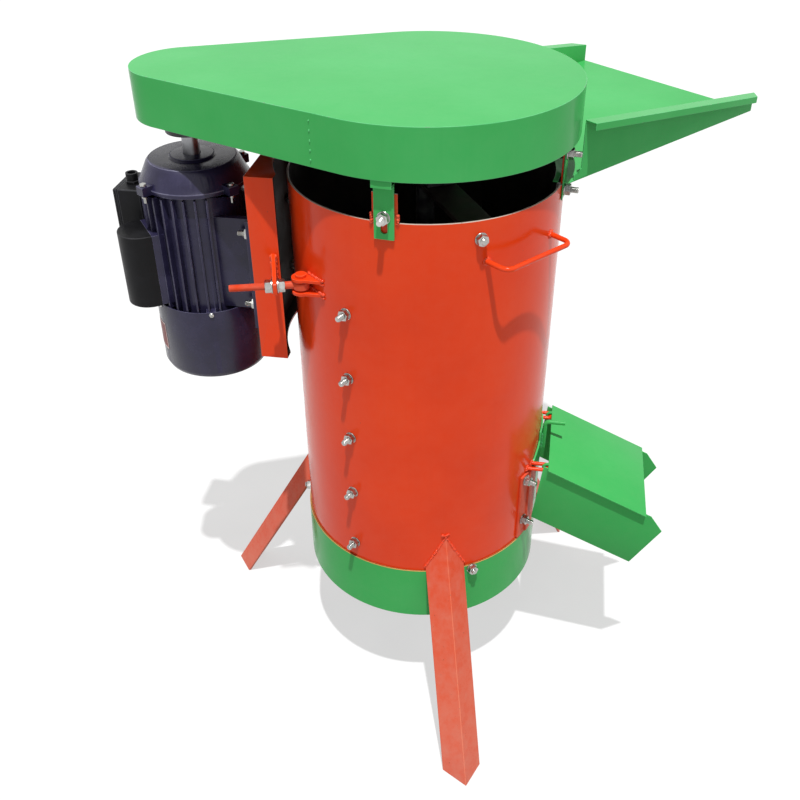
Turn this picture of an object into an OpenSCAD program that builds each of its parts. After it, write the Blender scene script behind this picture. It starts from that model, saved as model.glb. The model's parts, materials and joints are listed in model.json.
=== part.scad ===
// Walnut huller: an upright drum on three angle-iron legs. A motor on a swinging plate drives the
// turntable inside through a V-belt under a teardrop guard. Green walnuts enter over the feed chute
// and hulled nuts leave through a lifting gate and the discharge hood.
// Millimetres, +Z up. The drum axis is vertical, the motor lies towards -X, the discharge towards +X.

/* [Drum] */
// Outer radius of the drum
drum_r = 220; // [214:1:228]
// Sheet thickness of the drum
drum_wall = 3; // [2:0.5:4]
// Length of the drum's rolled sheet
drum_h = 716; // [690:1:740]
// Width of the ledge inside the drum's lower end
ledge_w = 22; // [16:1:28]
// Thickness of that ledge
ledge_t = 4; // [3:0.5:6]
// Height of the guard lugs above the rim
lug_h = 44; // [38:1:50]
// Width of a guard lug
lug_w = 38; // [34:1:40]
// Direction of the front guard strap
strap_front = -97; // [-104:1:-90]
// Direction of the rear guard strap
strap_rear = 111.5; // [110:0.5:112]

/* [Ring and legs] */
// Height of the bottom ring's lower edge above the floor
ring_low = 215; // [195:1:235]
// Height of the bottom ring
ring_h = 115; // [108:1:122]
// Overlap of the ring over the drum
ring_lap = 40; // [36:1:44]
// Sheet thickness of the ring
ring_wall = 3; // [2:0.5:4]
// Direction of the ring bolt beside the front leg
ring_bolt_angle = -58; // [-60:1:-50]
// Drop of the ring bolts below the ring's upper edge
ring_bolt_drop = 8; // [8:1:14]
// Distance of the legs' feet outside the drum's wall
foot_out = 225; // [205:1:245]
// Height above the ring at which a leg's ridge meets the drum
leg_rise = 79; // [70:1:90]
// Direction of the front leg
leg_angle = -71; // [-74:1:-68]
// Flange width of the leg's angle iron
leg_flange = 50; // [45:1:55]
// Thickness of the leg's angle iron
leg_t = 5; // [4:0.5:6]

/* [Floor and shaft] */
// Thickness of the bottom grate
grate_t = 4; // [3:0.5:6]
// Number of slots in the bottom grate
grate_slots = 24; // [16:1:30]
// Width of a grate slot
grate_slot_w = 9; // [7:0.5:11]
// Radius of the main shaft
shaft_r = 15; // [13:0.5:17]
// Width of the two bearing bridges
bridge_w = 50; // [46:1:56]
// Thickness of the bearing bridges
bridge_t = 8; // [6:0.5:10]
// Height of the lower bridge above the ring's lower edge
bridge_rise = 11; // [8:1:16]
// Direction of the upper bridge
bridge_angle = -60.6; // [-64:0.2:-57]
// Drop of the upper bridge's bolts below the rim
bridge_drop = 28; // [26:1:32]
// Height of a bearing housing
bearing_h = 42; // [38:1:46]
// Radius of a bearing housing
bearing_r = 34; // [30:1:38]
// Distance of a bearing's bolts from the shaft
bearing_bolt_x = 54; // [50:1:60]
// Gap between the turntable and the drum's wall
table_gap = 21; // [17:1:29]
// Thickness of the turntable
table_t = 6; // [5:0.5:8]
// Height of the turntable above the grate
table_rise = 28; // [24:1:32]
// Number of beater bars on the turntable
beater_count = 4; // [3:1:6]
// Height of a beater bar
beater_h = 20; // [16:1:24]
// Width of a beater bar
beater_w = 22; // [18:1:26]

/* [Wall scrapers] */
// Direction of the front scraper
scraper_angle = -115; // [-118:1:-112]
// Length of a scraper
scraper_h = 526; // [510:1:540]
// Width of a scraper
scraper_w = 30; // [26:1:34]
// Thickness of a scraper
scraper_t = 12; // [10:0.5:13]
// Number of bolts in a scraper
scraper_bolts_n = 5; // [3:1:6]
// Distance between the scraper bolts
scraper_pitch = 119; // [90:1:120]

/* [Belt drive] */
// Distance between the drum's wall and the motor's axis
motor_out = 168; // [165:1:171]
// Outer radius of the driven pulley
driven_r = 190; // [180:1:196]
// Outer radius of the motor pulley
drive_r = 44; // [40:1:50]
// Height of the pulley rims
pulley_h = 30; // [28:1:34]
// Top width of the V-belt
belt_w = 17; // [15:0.5:18]
// Thickness of the V-belt
belt_t = 11; // [10:0.5:12]
// Length of the motor pulley's hub below its rim
drive_hub_h = 33; // [28:1:36]
// Height of the belt's mid plane above the guard's lower edge
belt_rise = 18; // [16:1:24]

/* [Belt guard] */
// Overhang of the guard's round end outside the drum's wall
guard_over = 18; // [16:1:22]
// Small radius of the guard
guard_small_r = 88; // [82:1:94]
// Distance of the small radius's centre in front of the motor's axis
guard_back = 10; // [4:1:16]
// Height of the guard
guard_h = 78; // [74:1:86]
// Gap between the drum's rim and the guard
guard_gap = 68; // [64:1:74]
// Sheet thickness of the guard
guard_t = 2; // [1.5:0.5:3]
// Width of the guard straps
strap_w = 30; // [26:1:32]
// Thickness of the guard straps
strap_t = 4; // [3:0.5:5]
// Height of the strap bolts above the rim
strap_bolt_rise = 9; // [6:1:14]
// Length of the slot below a strap bolt
strap_slot = 20; // [16:1:22]

/* [Feed chute] */
// Direction of the feed chute
feed_angle = 47.7; // [46.5:0.1:48]
// Distance of the chute's side walls inside the drum's wall
feed_inset = 23; // [20:1:27]
// Reach of the chute outside the drum's wall
feed_out = 354; // [330:1:380]
// Slope of the chute's floor in degrees
feed_slope = 2; // [1:0.1:4]
// Sheet thickness of the chute
feed_t = 2; // [1.5:0.5:3]
// Height of the side walls' outer ends above the rim
feed_wall_rise = 49; // [42:1:58]
// Rise of the side walls towards the drum in degrees
feed_flare = 6; // [4:0.5:7]
// Width of the flanges on the side walls
feed_flange = 20; // [14:1:24]
// Height of the turned-down lip on a flange
feed_lip = 11; // [8:1:14]
// Distance of an ear's middle inside the side wall
feed_ear_in = 12; // [11.5:0.1:13]
// Width of a chute ear
feed_ear_w = 26; // [24:1:28]

/* [Gate] */
// Width of the outlet window
outlet_w = 116; // [100:1:120]
// Height of the outlet window
outlet_h = 115; // [100:1:120]
// Height of the window above the drum's lower end
outlet_rise = 55; // [52:1:60]
// Width of the gate
gate_w = 133; // [128:1:134]
// Thickness of the gate
gate_t = 3; // [2.5:0.5:3.5]
// Width of the gate's tongue
gate_tongue_w = 60; // [50:1:80]
// Height of the tongue above the gate's shoulders
gate_tongue_h = 40; // [36:1:50]
// Reach of the gate handle
gate_handle_reach = 36; // [30:1:44]
// Radius of the gate handle's rod
gate_rod_r = 4; // [3:0.5:5]
// Distance of the guides' bolts outside the gate's edge
guide_bolt_out = 30; // [29:0.5:31.5]

/* [Discharge hood] */
// Gap between the drum's wall and the hood cover's inner edge
hood_gap = 20; // [19:0.5:24]
// Height of that edge above the outlet window
hood_rise = 34; // [33:0.5:36]
// Half of the cover's width
hood_half = 102; // [102:1:108]
// Overhang of the cover over the side walls
hood_over = 8; // [6:0.5:8]
// Length of the cover
hood_l = 200; // [180:1:220]
// Depth of the side walls
hood_d = 118; // [105:1:125]
// Slope of the hood in degrees
hood_slope = 24.5; // [20:0.5:28]
// Sheet thickness of the hood
hood_t = 2; // [1.5:0.5:3]
// Radius of the staples' rod
staple_r = 3.5; // [3:0.25:3.5]
// Radius of the hook rods
hook_r = 3; // [2.5:0.25:3]

/* [Carry handle] */
// Direction of the carry handle
handle_angle = -39.5; // [-44:0.5:-36]
// Distance between the handle's legs
handle_span = 138; // [120:1:150]
// Reach of the handle from the drum
handle_reach = 31; // [28:1:40]
// Radius of the handle's rod
handle_rod_r = 4; // [3:0.5:5]
// Drop of the handle below the rim
handle_drop = 66; // [56:1:80]

/* [Motor] */
// Distance between the motor's axis and its feet
motor_h = 127; // [124:1:130]
// Radius of the motor's barrel
barrel_r = 80; // [76:1:82]
// Radius over the fins and the end bell
motor_r = 92; // [90:1:93]
// Number of fin places round the barrel
fin_count = 30; // [20:1:36]
// Thickness of a fin
fin_t = 3; // [2:0.5:4]
// Height of the finned frame
frame_h = 215; // [208:1:222]
// Height of the end bell
bell_h = 40; // [36:1:44]
// Gap between the end bell and the motor pulley
bell_gap = 42; // [36:1:48]
// Length of the fan cover below the frame
fan_cover_h = 129; // [118:1:136]
// Radius of the fan cover
fan_cover_r = 95; // [94.5:0.5:97]
// Radius of the motor shaft
motor_shaft_r = 14; // [12:0.5:15]
// Distance between the foot bolts across the motor
foot_bolt_y = 150; // [144:1:156]
// Distance between the foot bolts along the motor
foot_bolt_z = 130; // [120:1:140]
// Width of the terminal box
box_w = 80; // [70:1:84]
// Height of the terminal box
box_h = 72; // [64:1:76]
// Depth of the terminal box
box_d = 48; // [42:1:52]
// Radius of the cable gland's bore
gland_bore_r = 7; // [6:0.5:8]
// Radius of the capacitor cover's round front
cap_cover_r = 38; // [35:0.5:38.5]
// Height of the capacitor cover
cap_cover_h = 130; // [115:1:140]

/* [Motor plate] */
// Height of the motor plate
plate_h = 322; // [312:1:336]
// Half of the motor plate's width
plate_half = 125; // [122:1:128]
// Depth of the motor plate's flanges
plate_d = 46; // [42:1:48]
// Thickness of the motor plate
plate_t = 5; // [4:0.5:6]
// Height of the motor plate's upper edge above the rim
plate_rise = 16; // [10:1:22]
// Radius of the hinge pins
hinge_pin_r = 6; // [5:0.5:7]

/* [Belt tensioner] */
// Direction of the clevis on the drum
clevis_angle = -136.4; // [-138:0.2:-135]
// Distance of the clevis pin from the drum wall
clevis_out = 16; // [15:0.5:18]
// Drop of the tension rod below the rim
rod_drop = 140; // [130:1:150]
// Direction of the tension rod
rod_angle = 196; // [194:0.5:198]
// Radius of the tension rod and the clevis pin
rod_r = 6; // [5:0.5:6.5]
// Length of the tension rod from the pin
rod_l = 112; // [104:1:120]
// Distance of the plate's tab from the pin
tab_out = 41; // [40:0.5:44]
// Thickness of the tab
tab_t = 6; // [5:0.5:7]

/* [Fasteners and clearances] */
// Radius of the bolts
bolt_r = 5; // [4:0.5:5]
// Gap at welded and seated round faces
seat_gap = 0.3; // [0.2:0.05:0.4]
// Running clearance on the radius of a bearing
run_gap = 0.05; // [0.02:0.01:0.08]

/* [Hidden] */
$fn = 96;

// Paint colours
orange = "orangered";
green = "mediumseagreen";
navy = "darkslateblue";
zinc = "silver";

// Drum, ring and legs
drum_in = drum_r - drum_wall;
drum_low = ring_low + ring_h - ring_lap;
rim_z = drum_low + drum_h;
ring_top = ring_low + ring_h;
ring_in = drum_r + seat_gap;
ring_out = ring_in + ring_wall;
leg_top = ring_top + leg_rise;
foot_r = drum_r + foot_out;
lean = atan2(foot_out, leg_top);
leg_step = 120;
feed_lug_w = 20;
feed_lug_h = 62;
feed_half = drum_in - feed_inset;
feed_ear_angle = asin((feed_half - feed_ear_in) / drum_r);
lug_turns = [feed_angle - feed_ear_angle, feed_angle + feed_ear_angle, strap_rear, 360 + strap_front];
lug_widths = [feed_lug_w, feed_lug_w, lug_w, lug_w];

// Bolt sets
washer_r = 2 * bolt_r;
washer_t = 2;
nut_r = 1.85 * bolt_r;
nut_h = 1.6 * bolt_r;
head_h = 1.3 * bolt_r;
hole_r = bolt_r + 0.4;
tip_short = 4;
tip_long = 12;

// Shaft and floor
grate_z = drum_low + ledge_t;
bridge_z = ring_low + bridge_rise;
lower_bearing_z = bridge_z + bridge_t;
bridge_bolt_drop = 12;
upper_bridge_z = rim_z - bridge_drop + bridge_bolt_drop;
upper_bearing_z = upper_bridge_z + bridge_t;
bridge_end_x = sqrt(pow(drum_in, 2) - pow(bridge_w / 2, 2)) - seat_gap;
bridge_leg = 32;
table_z = grate_z + grate_t + table_rise;
shaft_end = 4;
shaft_low = lower_bearing_z + shaft_end;
table_r = drum_in - table_gap;
table_hub_r = 30;
table_hub_h = 14;
beater_hub_gap = 4;
beater_rim_gap = 10;
grate_hole_gap = 8;
grate_core_r = 98;
grate_rim = 10;
bridge_hole_gap = 6;
bearing_flange_t = 12;
bearing_flange_end = 14;
bearing_flange_side = 2;
scraper_rise = 8;
scraper_bolt_end = 25;
scraper_edge_t = 4;
scraper_face_w = 20;

// Belt drive
motor_offset = drum_r + motor_out;
guard_r = drum_r + guard_over;
guard_span = motor_offset - guard_back;
guard_low = rim_z + guard_gap;
guard_top = guard_low + guard_h;
belt_z = guard_low + belt_rise;
belt_play = 0.35;
join_step = 0.04;
belt_slope = tan(20);
belt_set = 0.5;
belt_driven = driven_r - belt_set;
belt_drive = drive_r - belt_set;
groove_room = 2;
groove_depth = belt_t + groove_room;
pulley_rim_t = 8;
pulley_web_t = 10;
drive_hub_step = 6;
drive_hub_r = drive_r - drive_hub_step;
driven_hub_drop = 6;
driven_hub_h = 42;
driven_hub_r = 36;
pulley_nut_h = 12;
pulley_nut_r = 21;
shaft_step = 3;
shaft_over = 4;
pulley_low = belt_z - pulley_h / 2;

// Feed chute, in its own direction
feed_edge = feed_half + feed_t;
feed_reach = drum_r + feed_out;
feed_lip_in = 12;
feed_in_r = drum_in - feed_lip_in;
feed_guard_gap = 8;
feed_toe_l = 15;
feed_toe_rise = 12;
feed_heel_rise = 20;
feed_bolt_drop = 12;
feed_bolt_rise = 45;
feed_ear_tail = 26;
feed_ear_drop = 2;
feed_notch = 4;
feed_seat_x = sqrt(pow(drum_in, 2) - pow(feed_edge, 2));
feed_wall_x = sqrt(pow(guard_r, 2) - pow(feed_half, 2)) + feed_guard_gap;
feed_toe_x = feed_wall_x - feed_toe_l;
feed_cut_angle = strap_rear - feed_angle - asin(lug_w / 2 / drum_r) - 0.3;
function feed_under(x) = rim_z + seat_gap + (x - feed_seat_x) * tan(feed_slope);
function feed_top(x) = rim_z + feed_wall_rise + (feed_reach - x) * tan(feed_flare);
function feed_strip(depth) = [[feed_reach, feed_top(feed_reach) - depth], [feed_reach, feed_top(feed_reach)],
                              [feed_wall_x, feed_top(feed_wall_x)],
                              [feed_wall_x, feed_top(feed_wall_x) - depth]];

// Gate and hood
outlet_z = drum_low + outlet_rise;
gate_gap = 0.6;
gate_in = drum_r + gate_gap;
gate_out = gate_in + gate_t;
gate_lap_low = 7;
gate_lap_top = 24;
gate_low = outlet_z - gate_lap_low;
gate_top = outlet_z + outlet_h + gate_lap_top;
gate_edge_angle = asin(gate_w / 2 / gate_in);
guide_stop = 5;
guide_lap = 16;
guide_t = 3;
guide_low = gate_low - guide_stop;
guide_top = outlet_z + outlet_h + guide_lap;
guide_base_in = drum_r + seat_gap;
guide_lip_in = gate_out + gate_gap;
guide_lip_out = guide_lip_in + guide_t;
guide_bolt_angle = asin((gate_w / 2 + guide_bolt_out) / drum_r);
guide_gap_angle = 1;
guide_lip_angle = gate_edge_angle - 2.2;
guide_lip_end_angle = guide_bolt_angle - 3.2;
guide_end_angle = guide_bolt_angle + 3.4;
guide_bolt_rise = 27;
guide_bolt_drop = 11;
guide_bolt_low = outlet_z + guide_bolt_rise;
guide_bolt_high = guide_top - guide_bolt_drop;
gate_rod_x = gate_out + gate_rod_r + seat_gap;
gate_rod_lap = 14;
gate_rod_bend = 8;
gate_rod_over = 3;
gate_rod_low = gate_top - gate_rod_lap;
gate_rod_z = gate_top + gate_tongue_h + gate_rod_over;
hood_x = drum_r + hood_gap;
hood_z = outlet_z + outlet_h + hood_rise;
hood_wall_y = hood_half - hood_over;
hood_back = 9;
hood_nose = 12;
hood_tip = 46;
hood_tip_drop = 22;
hood_toe = 37;
hood_heel = 29;
hook_back = 2;
hook_drop = 10;
hook_l = 26;
hook_x = hood_x - hook_back;
hook_z = hood_z - hook_drop;
staple_span = 16;
staple_bend = 5;
staple_wall_gap = 0.5;
staple_y = hood_wall_y - hood_t - staple_span / 2 - staple_r - staple_wall_gap;
handle_bend = 14;
rod_root = 30;

// Motor and its plate
motor_x = -motor_offset;
plate_x = motor_x + motor_h;
plate_top = rim_z + plate_rise;
plate_low = plate_top - plate_h;
plate_drum_gap = 20;
plate_cut_r = drum_r + plate_drum_gap;
motor_pulley_low = pulley_low - drive_hub_h;
bell_top = motor_pulley_low - bell_gap;
frame_top = bell_top - bell_h;
frame_low = frame_top - frame_h;
shield_t = 10;
fin_from = 48;
fin_low = 6;
fin_drop = 4;
stator_wall = 14;
stator_r = barrel_r - stator_wall;
winding_t = 22;
rotor_core_r = stator_r - winding_t;
rotor_gap = 1;
core_low_gap = 45;
core_top_gap = 40;
core_step = 2;
shaft_tail = 18;
motor_shaft_over = 4;
foot_t = 14;
foot_w = 50;
foot_drop = 7;
foot_low = frame_low - foot_drop;
foot_h = 195;
rib_short = 30;
rib_gap = 2;
rib_x = 44;
rib_y = 58;
rib_t = 12;
foot_bolt_rise = 91;
foot_bolt_mid = frame_low + foot_bolt_rise;
box_gap = 2;
box_x = -motor_r - box_gap;
box_y = 18;
box_drop = 20;
box_top = frame_top - box_drop;
box_pad_in = 20;
box_pad_edge = 8;
box_wall = 4;
lid_t = 8;
gland_r = 11;
gland_nut_h = 5;
gland_nut_step = 2;
gland_stem_step = 0.5;
gland_h = 18;
gland_x = box_x - box_d / 2;
gland_y = 12;
cap_angle = 216.4;
cap_seat_gap = 3;
cap_seat = motor_r + cap_seat_gap;
cap_straight = 10;
cap_wall = 2.5;
cap_rise = 15;
cap_low = frame_low + cap_rise;
cap_room = 18;
cap_body_r = cap_cover_r - cap_room;
cap_body_h = cap_cover_h - 2 * cap_room;
pad_root = 6;
bell_lug_angles = [55, 145, 235, 325];
bell_lug_out = 7;
bell_lug_x = motor_r + bell_lug_out;
bell_lug_root = 10;
bell_lug_end = 8;
bell_lug_w = 18;
bell_lug_h = 15;
bell_rim_h = 7;
bell_chamfer = 3;
bell_slope_in = 15;
bell_crown_in = 20;
bell_crown_drop = 5;
bell_boss_r = 36;
bell_boss_h = 4;
bell_roof = 14;
bell_bolt_r = 3;
bell_bolt_play = 0.4;
bell_bolt_tail = 14;
bell_bolt_over = 2;
bell_nut_r = 5.5;
bell_nut_h = 5;
bell_head_r = 6;
bell_head_h = 4;
cover_screw_angles = [45, 135, 225, 290];
cover_lap = 9;
cover_t = 2;
cover_seat = 0.5;
cover_corner = 14;
cover_knee = 5;
cover_slots = 12;
cover_slot_w = 6;
cover_slot_in = 26;
cover_slot_rim = 20;
screw_r = 2.5;
screw_head_r = 4.5;
screw_head_h = 3;
screw_pad_w = 16;
fan_gap = 13;
fan_rise = 24;
fan_hub_wall = 8;
fan_hub_h = 40;
fan_disc_t = 4;
fan_disc_drop = 6;
fan_blades = 8;
fan_blade_t = 3;
fan_blade_rim = 15;

// Hinge and tensioner
hinge_in = 36;
hinge_out = 35;
hinge_wall = 8;
hinge_rise = 70;
hinge_drop = 102;
hinge_x = plate_x + hinge_in;
hinge_y = plate_half + hinge_out;
hinge_r = hinge_pin_r + hinge_wall;
hinge_levels = [plate_low + hinge_rise, plate_top - hinge_drop];
pin_tail = 6;
pin_head_w = 4;
pin_head_h = 5;
lug_plate_t = 12;
knuckle_h = 30;
clevis_r = drum_r + clevis_out;
clevis_x = clevis_r * cos(clevis_angle);
clevis_y = clevis_r * sin(clevis_angle);
rod_z = rim_z - rod_drop;
eye_wall = 7;
eye_r = rod_r + eye_wall;
ear_edge = 2;
clevis_tail = 6;
clevis_over = 2;
clevis_head_w = 3;
clevis_head_h = 5;
eye_h = 12;
ear_t = 5;
ear_gap = 9;
tab_play = 2.5;
tab_hole_r = rod_r + tab_play;
tab_root_half = 30;
tab_half = 15;
tab_nose = 14;
tab_nose_half = 9;
tab_x = clevis_x + tab_out * cos(rod_angle);
tab_y = clevis_y + tab_out * sin(rod_angle);
tab_base = (-plate_half - tab_y) / cos(rod_angle);
nut_play = 0.8;
rod_nut_h = 10;
rod_nut_r = 10.4;
rod_washer_r = 12;
cut = 1;

// The origin is below the middle of the whole machine's outline
feed_mitre = feed_flange;
feed_corner = [feed_reach, feed_edge];
feed_tip = [feed_reach - feed_mitre, feed_edge + feed_flange];
function feed_far_x(p) = p[0] * cos(feed_angle) + p[1] * sin(feed_angle);
function feed_far_y(p) = p[0] * sin(feed_angle) + p[1] * cos(feed_angle);
far_x = max(feed_far_x(feed_corner), feed_far_x(feed_tip));
far_y = max(feed_far_y(feed_corner), feed_far_y(feed_tip));
near_x = motor_x + box_x - box_d;
near_y = foot_r * sin(leg_angle);
middle = [(near_x + far_x) / 2, (near_y + far_y) / 2, 0];

// Shared shapes

module place() translate(-middle) children();

module motor_place() place() translate([motor_x, 0, 0]) children();

module tube(r_out, r_in, z0, z1) translate([0, 0, z0]) difference() {
    cylinder(r = r_out, h = z1 - z0);
    translate([0, 0, -1]) cylinder(r = r_in, h = z1 - z0 + 2);
}

module disc(r, z0, z1) translate([0, 0, z0]) cylinder(r = r, h = z1 - z0);

// Part of a ring between two directions
module arc(r_in, r_out, a0, a1, z0, z1)
    rotate([0, 0, a0]) rotate_extrude(angle = a1 - a0)
        translate([r_in, z0]) square([r_out - r_in, z1 - z0]);

// Two unlike discs joined along their outer tangents
module teardrop(big, small, span, z0, z1) {
    phi = acos(-(big - small) / span);
    up = [cos(phi), sin(phi)];
    down = [cos(phi), -sin(phi)];
    end = [-span, 0];
    disc(big, z0, z1);
    translate(end) disc(small, z0, z1);
    translate([0, 0, z0]) linear_extrude(z1 - z0)
        polygon([(big - join_step) * up, end + (small - join_step) * up,
                 end + (small - join_step) * down, (big - join_step) * down]);
}

// Bolt along +X: head, shank, washer, nut and thread end
module bolt_set(seat_in, seat_out, tip) rotate([0, 90, 0]) {
    translate([0, 0, seat_in - head_h]) cylinder(r = nut_r, h = head_h, $fn = 6);
    translate([0, 0, seat_in - head_h / 2])
        cylinder(r = bolt_r, h = seat_out - seat_in + head_h / 2 + washer_t + nut_h + tip);
    translate([0, 0, seat_out]) cylinder(r = washer_r, h = washer_t);
    translate([0, 0, seat_out + washer_t]) cylinder(r = nut_r, h = nut_h, $fn = 6);
}

module radial_hole(z) translate([0, 0, z]) rotate([0, 90, 0]) translate([0, 0, drum_in - rod_root])
    cylinder(r = hole_r, h = 2 * rod_root);

// Round rod bent into a U that opens towards -X
module u_rod(span, reach, r, bend) {
    for (side = [-1, 1]) {
        translate([0, side * span / 2, 0]) rotate([0, 90, 0]) cylinder(r = r, h = reach - bend);
        translate([reach - bend, side * (span / 2 - bend), 0]) rotate([0, 0, side > 0 ? 0 : -90])
            rotate_extrude(angle = 90) translate([bend, 0]) circle(r = r);
    }
    translate([reach, span / 2 - bend, 0]) rotate([90, 0, 0]) cylinder(r = r, h = span - 2 * bend);
}

// Drum, ring and legs

module drum_shell() color(orange) place() difference() {
    union() {
        tube(drum_r, drum_in, drum_low, rim_z + feed_lug_h);
        tube(drum_in + drum_wall / 2, drum_in - ledge_w, drum_low, grate_z);
    }
    for (i = [0 : 3]) {
        next = (i + 1) % 4;
        from = lug_turns[i] + asin(lug_widths[i] / 2 / drum_r);
        to = lug_turns[next] - asin(lug_widths[next] / 2 / drum_r) + (next == 0 ? 360 : 0);
        arc(drum_in - drum_wall, drum_r + drum_wall, from, to, rim_z, rim_z + feed_lug_h + cut);
    }
    for (a = [strap_front, strap_rear]) rotate([0, 0, a]) {
        translate([drum_in - 3 * drum_wall, -lug_w, rim_z + lug_h])
            cube([6 * drum_wall, 2 * lug_w, feed_lug_h]);
        radial_hole(rim_z + strap_bolt_rise);
    }
    for (side = [-1, 1]) rotate([0, 0, feed_angle + side * feed_ear_angle]) feed_bolt_levels()
        radial_hole(0);
    translate([drum_in - ledge_w, -outlet_w / 2, outlet_z]) cube([2 * ledge_w, outlet_w, outlet_h]);
    for (a = [scraper_angle, scraper_angle + 180], i = [0 : scraper_bolts_n - 1])
        rotate([0, 0, a]) radial_hole(scraper_bolt_z(i));
    for (a = [bridge_angle, bridge_angle + 180]) rotate([0, 0, a]) radial_hole(rim_z - bridge_drop);
    for (a = [0 : leg_step : 240]) rotate([0, 0, ring_bolt_angle + a])
        radial_hole(ring_top - ring_bolt_drop);
    for (side = [-1, 1], z = [guide_bolt_low, guide_bolt_high])
        rotate([0, 0, side * guide_bolt_angle]) radial_hole(z);
}

module bottom_ring() color(green) place() difference() {
    tube(ring_out, ring_in, ring_low, ring_top);
    for (a = [0 : leg_step : 240]) rotate([0, 0, ring_bolt_angle + a])
        radial_hole(ring_top - ring_bolt_drop);
}

module ring_bolts() color(zinc) place() for (a = [0 : leg_step : 240])
    rotate([0, 0, ring_bolt_angle + a]) translate([0, 0, ring_top - ring_bolt_drop])
        bolt_set(drum_in - seat_gap, ring_out + seat_gap, tip_short);

module angle_profile() {
    d = leg_flange * sqrt(1 / 2);
    e = leg_t * sqrt(1 / 2);
    polygon([[0, 0], [-d, d], [-d - e, d - e], [-2 * e, 0], [-d - e, e - d], [-d, -d]]);
}

// Angle iron with its ridge outwards, cut to the floor and to the drum
module leg(turn) color(orange) place() rotate([0, 0, leg_angle + turn]) difference() {
    translate([foot_r, 0, 0]) rotate([0, -lean, 0]) translate([0, 0, -leg_flange])
        linear_extrude(2 * leg_flange + leg_top / cos(lean)) angle_profile();
    translate([0, -foot_r / 2, -2 * leg_flange]) cube([2 * foot_r, foot_r, 2 * leg_flange]);
    disc(drum_r + seat_gap, -1, leg_top + 4 * leg_flange);
    disc(ring_out + seat_gap, -1, ring_top + seat_gap);
}

module leg_front() leg(0);

module leg_rear() leg(leg_step);

module leg_left() leg(2 * leg_step);

// Grate, bearings and rotor

module bottom_grate() color("dimgray") place() difference() {
    disc(drum_in - 2 * seat_gap, grate_z, grate_z + grate_t);
    disc(shaft_r + grate_hole_gap, grate_z - cut, grate_z + grate_t + cut);
    for (i = [0 : grate_slots - 1]) rotate([0, 0, i * 360 / grate_slots])
        translate([grate_core_r, -grate_slot_w / 2, grate_z - cut])
            cube([table_r - grate_rim - grate_core_r, grate_slot_w, grate_t + 2 * cut]);
}

module bearing_bolt_place(angle) for (side = [-1, 1]) rotate([0, 0, angle])
    translate([side * bearing_bolt_x, 0, 0]) children();

module lower_bridge() color("dimgray") place() difference() {
    intersection() {
        translate([-drum_r * 2, -bridge_w / 2, bridge_z]) cube([drum_r * 4, bridge_w, bridge_t]);
        disc(ring_in - seat_gap, bridge_z - 1, bridge_z + bridge_t + 1);
    }
    bearing_bolt_place(0) disc(hole_r, bridge_z - 1, bridge_z + bridge_t + 1);
}

module upper_bridge() color("dimgray") place() rotate([0, 0, bridge_angle]) difference() {
    union() {
        translate([-bridge_end_x, -bridge_w / 2, upper_bridge_z])
            cube([2 * bridge_end_x, bridge_w, bridge_t]);
        for (side = [-1, 1])
            translate([side * (bridge_end_x - bridge_t / 2) - bridge_t / 2, -bridge_w / 2,
                       upper_bridge_z - bridge_leg]) cube([bridge_t, bridge_w, bridge_leg + bridge_t]);
    }
    disc(shaft_r + bridge_hole_gap, upper_bridge_z - cut, upper_bridge_z + bridge_t + cut);
    bearing_bolt_place(0) disc(hole_r, upper_bridge_z - 1, upper_bridge_z + bridge_t + 1);
    for (a = [0, 180]) rotate([0, 0, a]) radial_hole(rim_z - bridge_drop);
}

// Flanged bearing housing with two bolt holes
module bearing(angle, z) {
    half_l = bearing_bolt_x + bearing_flange_end;
    half_w = bridge_w / 2 - bearing_flange_side;
    difference() {
        union() {
            disc(bearing_r, z, z + bearing_h);
            rotate([0, 0, angle]) translate([-half_l, -half_w, z])
                cube([2 * half_l, 2 * half_w, bearing_flange_t]);
        }
        disc(shaft_r + run_gap, z - cut, z + bearing_h + cut);
        bearing_bolt_place(angle) disc(hole_r, z - cut, z + bearing_flange_t + cut);
    }
}

module lower_bearing() color("slategray") place() bearing(0, lower_bearing_z);

module upper_bearing() color("slategray") place() bearing(bridge_angle, upper_bearing_z);

module bearing_bolts() color(zinc) place() {
    bearing_bolt_place(0) translate([0, 0, bridge_z]) rotate([0, -90, 0])
        bolt_set(0, bridge_t + bearing_flange_t, tip_short);
    bearing_bolt_place(bridge_angle) translate([0, 0, upper_bridge_z]) rotate([0, -90, 0])
        bolt_set(0, bridge_t + bearing_flange_t, tip_short);
}

module bridge_bolts() color(zinc) place() for (a = [bridge_angle, bridge_angle + 180])
    rotate([0, 0, a]) translate([0, 0, rim_z - bridge_drop])
        bolt_set(bridge_end_x - bridge_t, drum_r + run_gap, tip_short);

scraper_x = sqrt(pow(drum_in, 2) - pow(scraper_w / 2, 2)) - seat_gap;
scraper_z = table_z + table_t + scraper_rise;
function scraper_bolt_z(i) = scraper_z + scraper_bolt_end + i * scraper_pitch;

// Bar with a bevelled inner face, bolted to the drum's wall
module wall_scraper(angle) color("gray") place() rotate([0, 0, angle]) difference() {
    translate([0, 0, scraper_z]) linear_extrude(scraper_h)
        polygon([[scraper_x, -scraper_w / 2], [scraper_x, scraper_w / 2],
                 [scraper_x - scraper_edge_t, scraper_w / 2],
                 [scraper_x - scraper_t, scraper_face_w / 2],
                 [scraper_x - scraper_t, -scraper_face_w / 2],
                 [scraper_x - scraper_edge_t, -scraper_w / 2]]);
    for (i = [0 : scraper_bolts_n - 1]) radial_hole(scraper_bolt_z(i));
}

module wall_scraper_front() wall_scraper(scraper_angle);

module wall_scraper_rear() wall_scraper(scraper_angle + 180);

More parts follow.
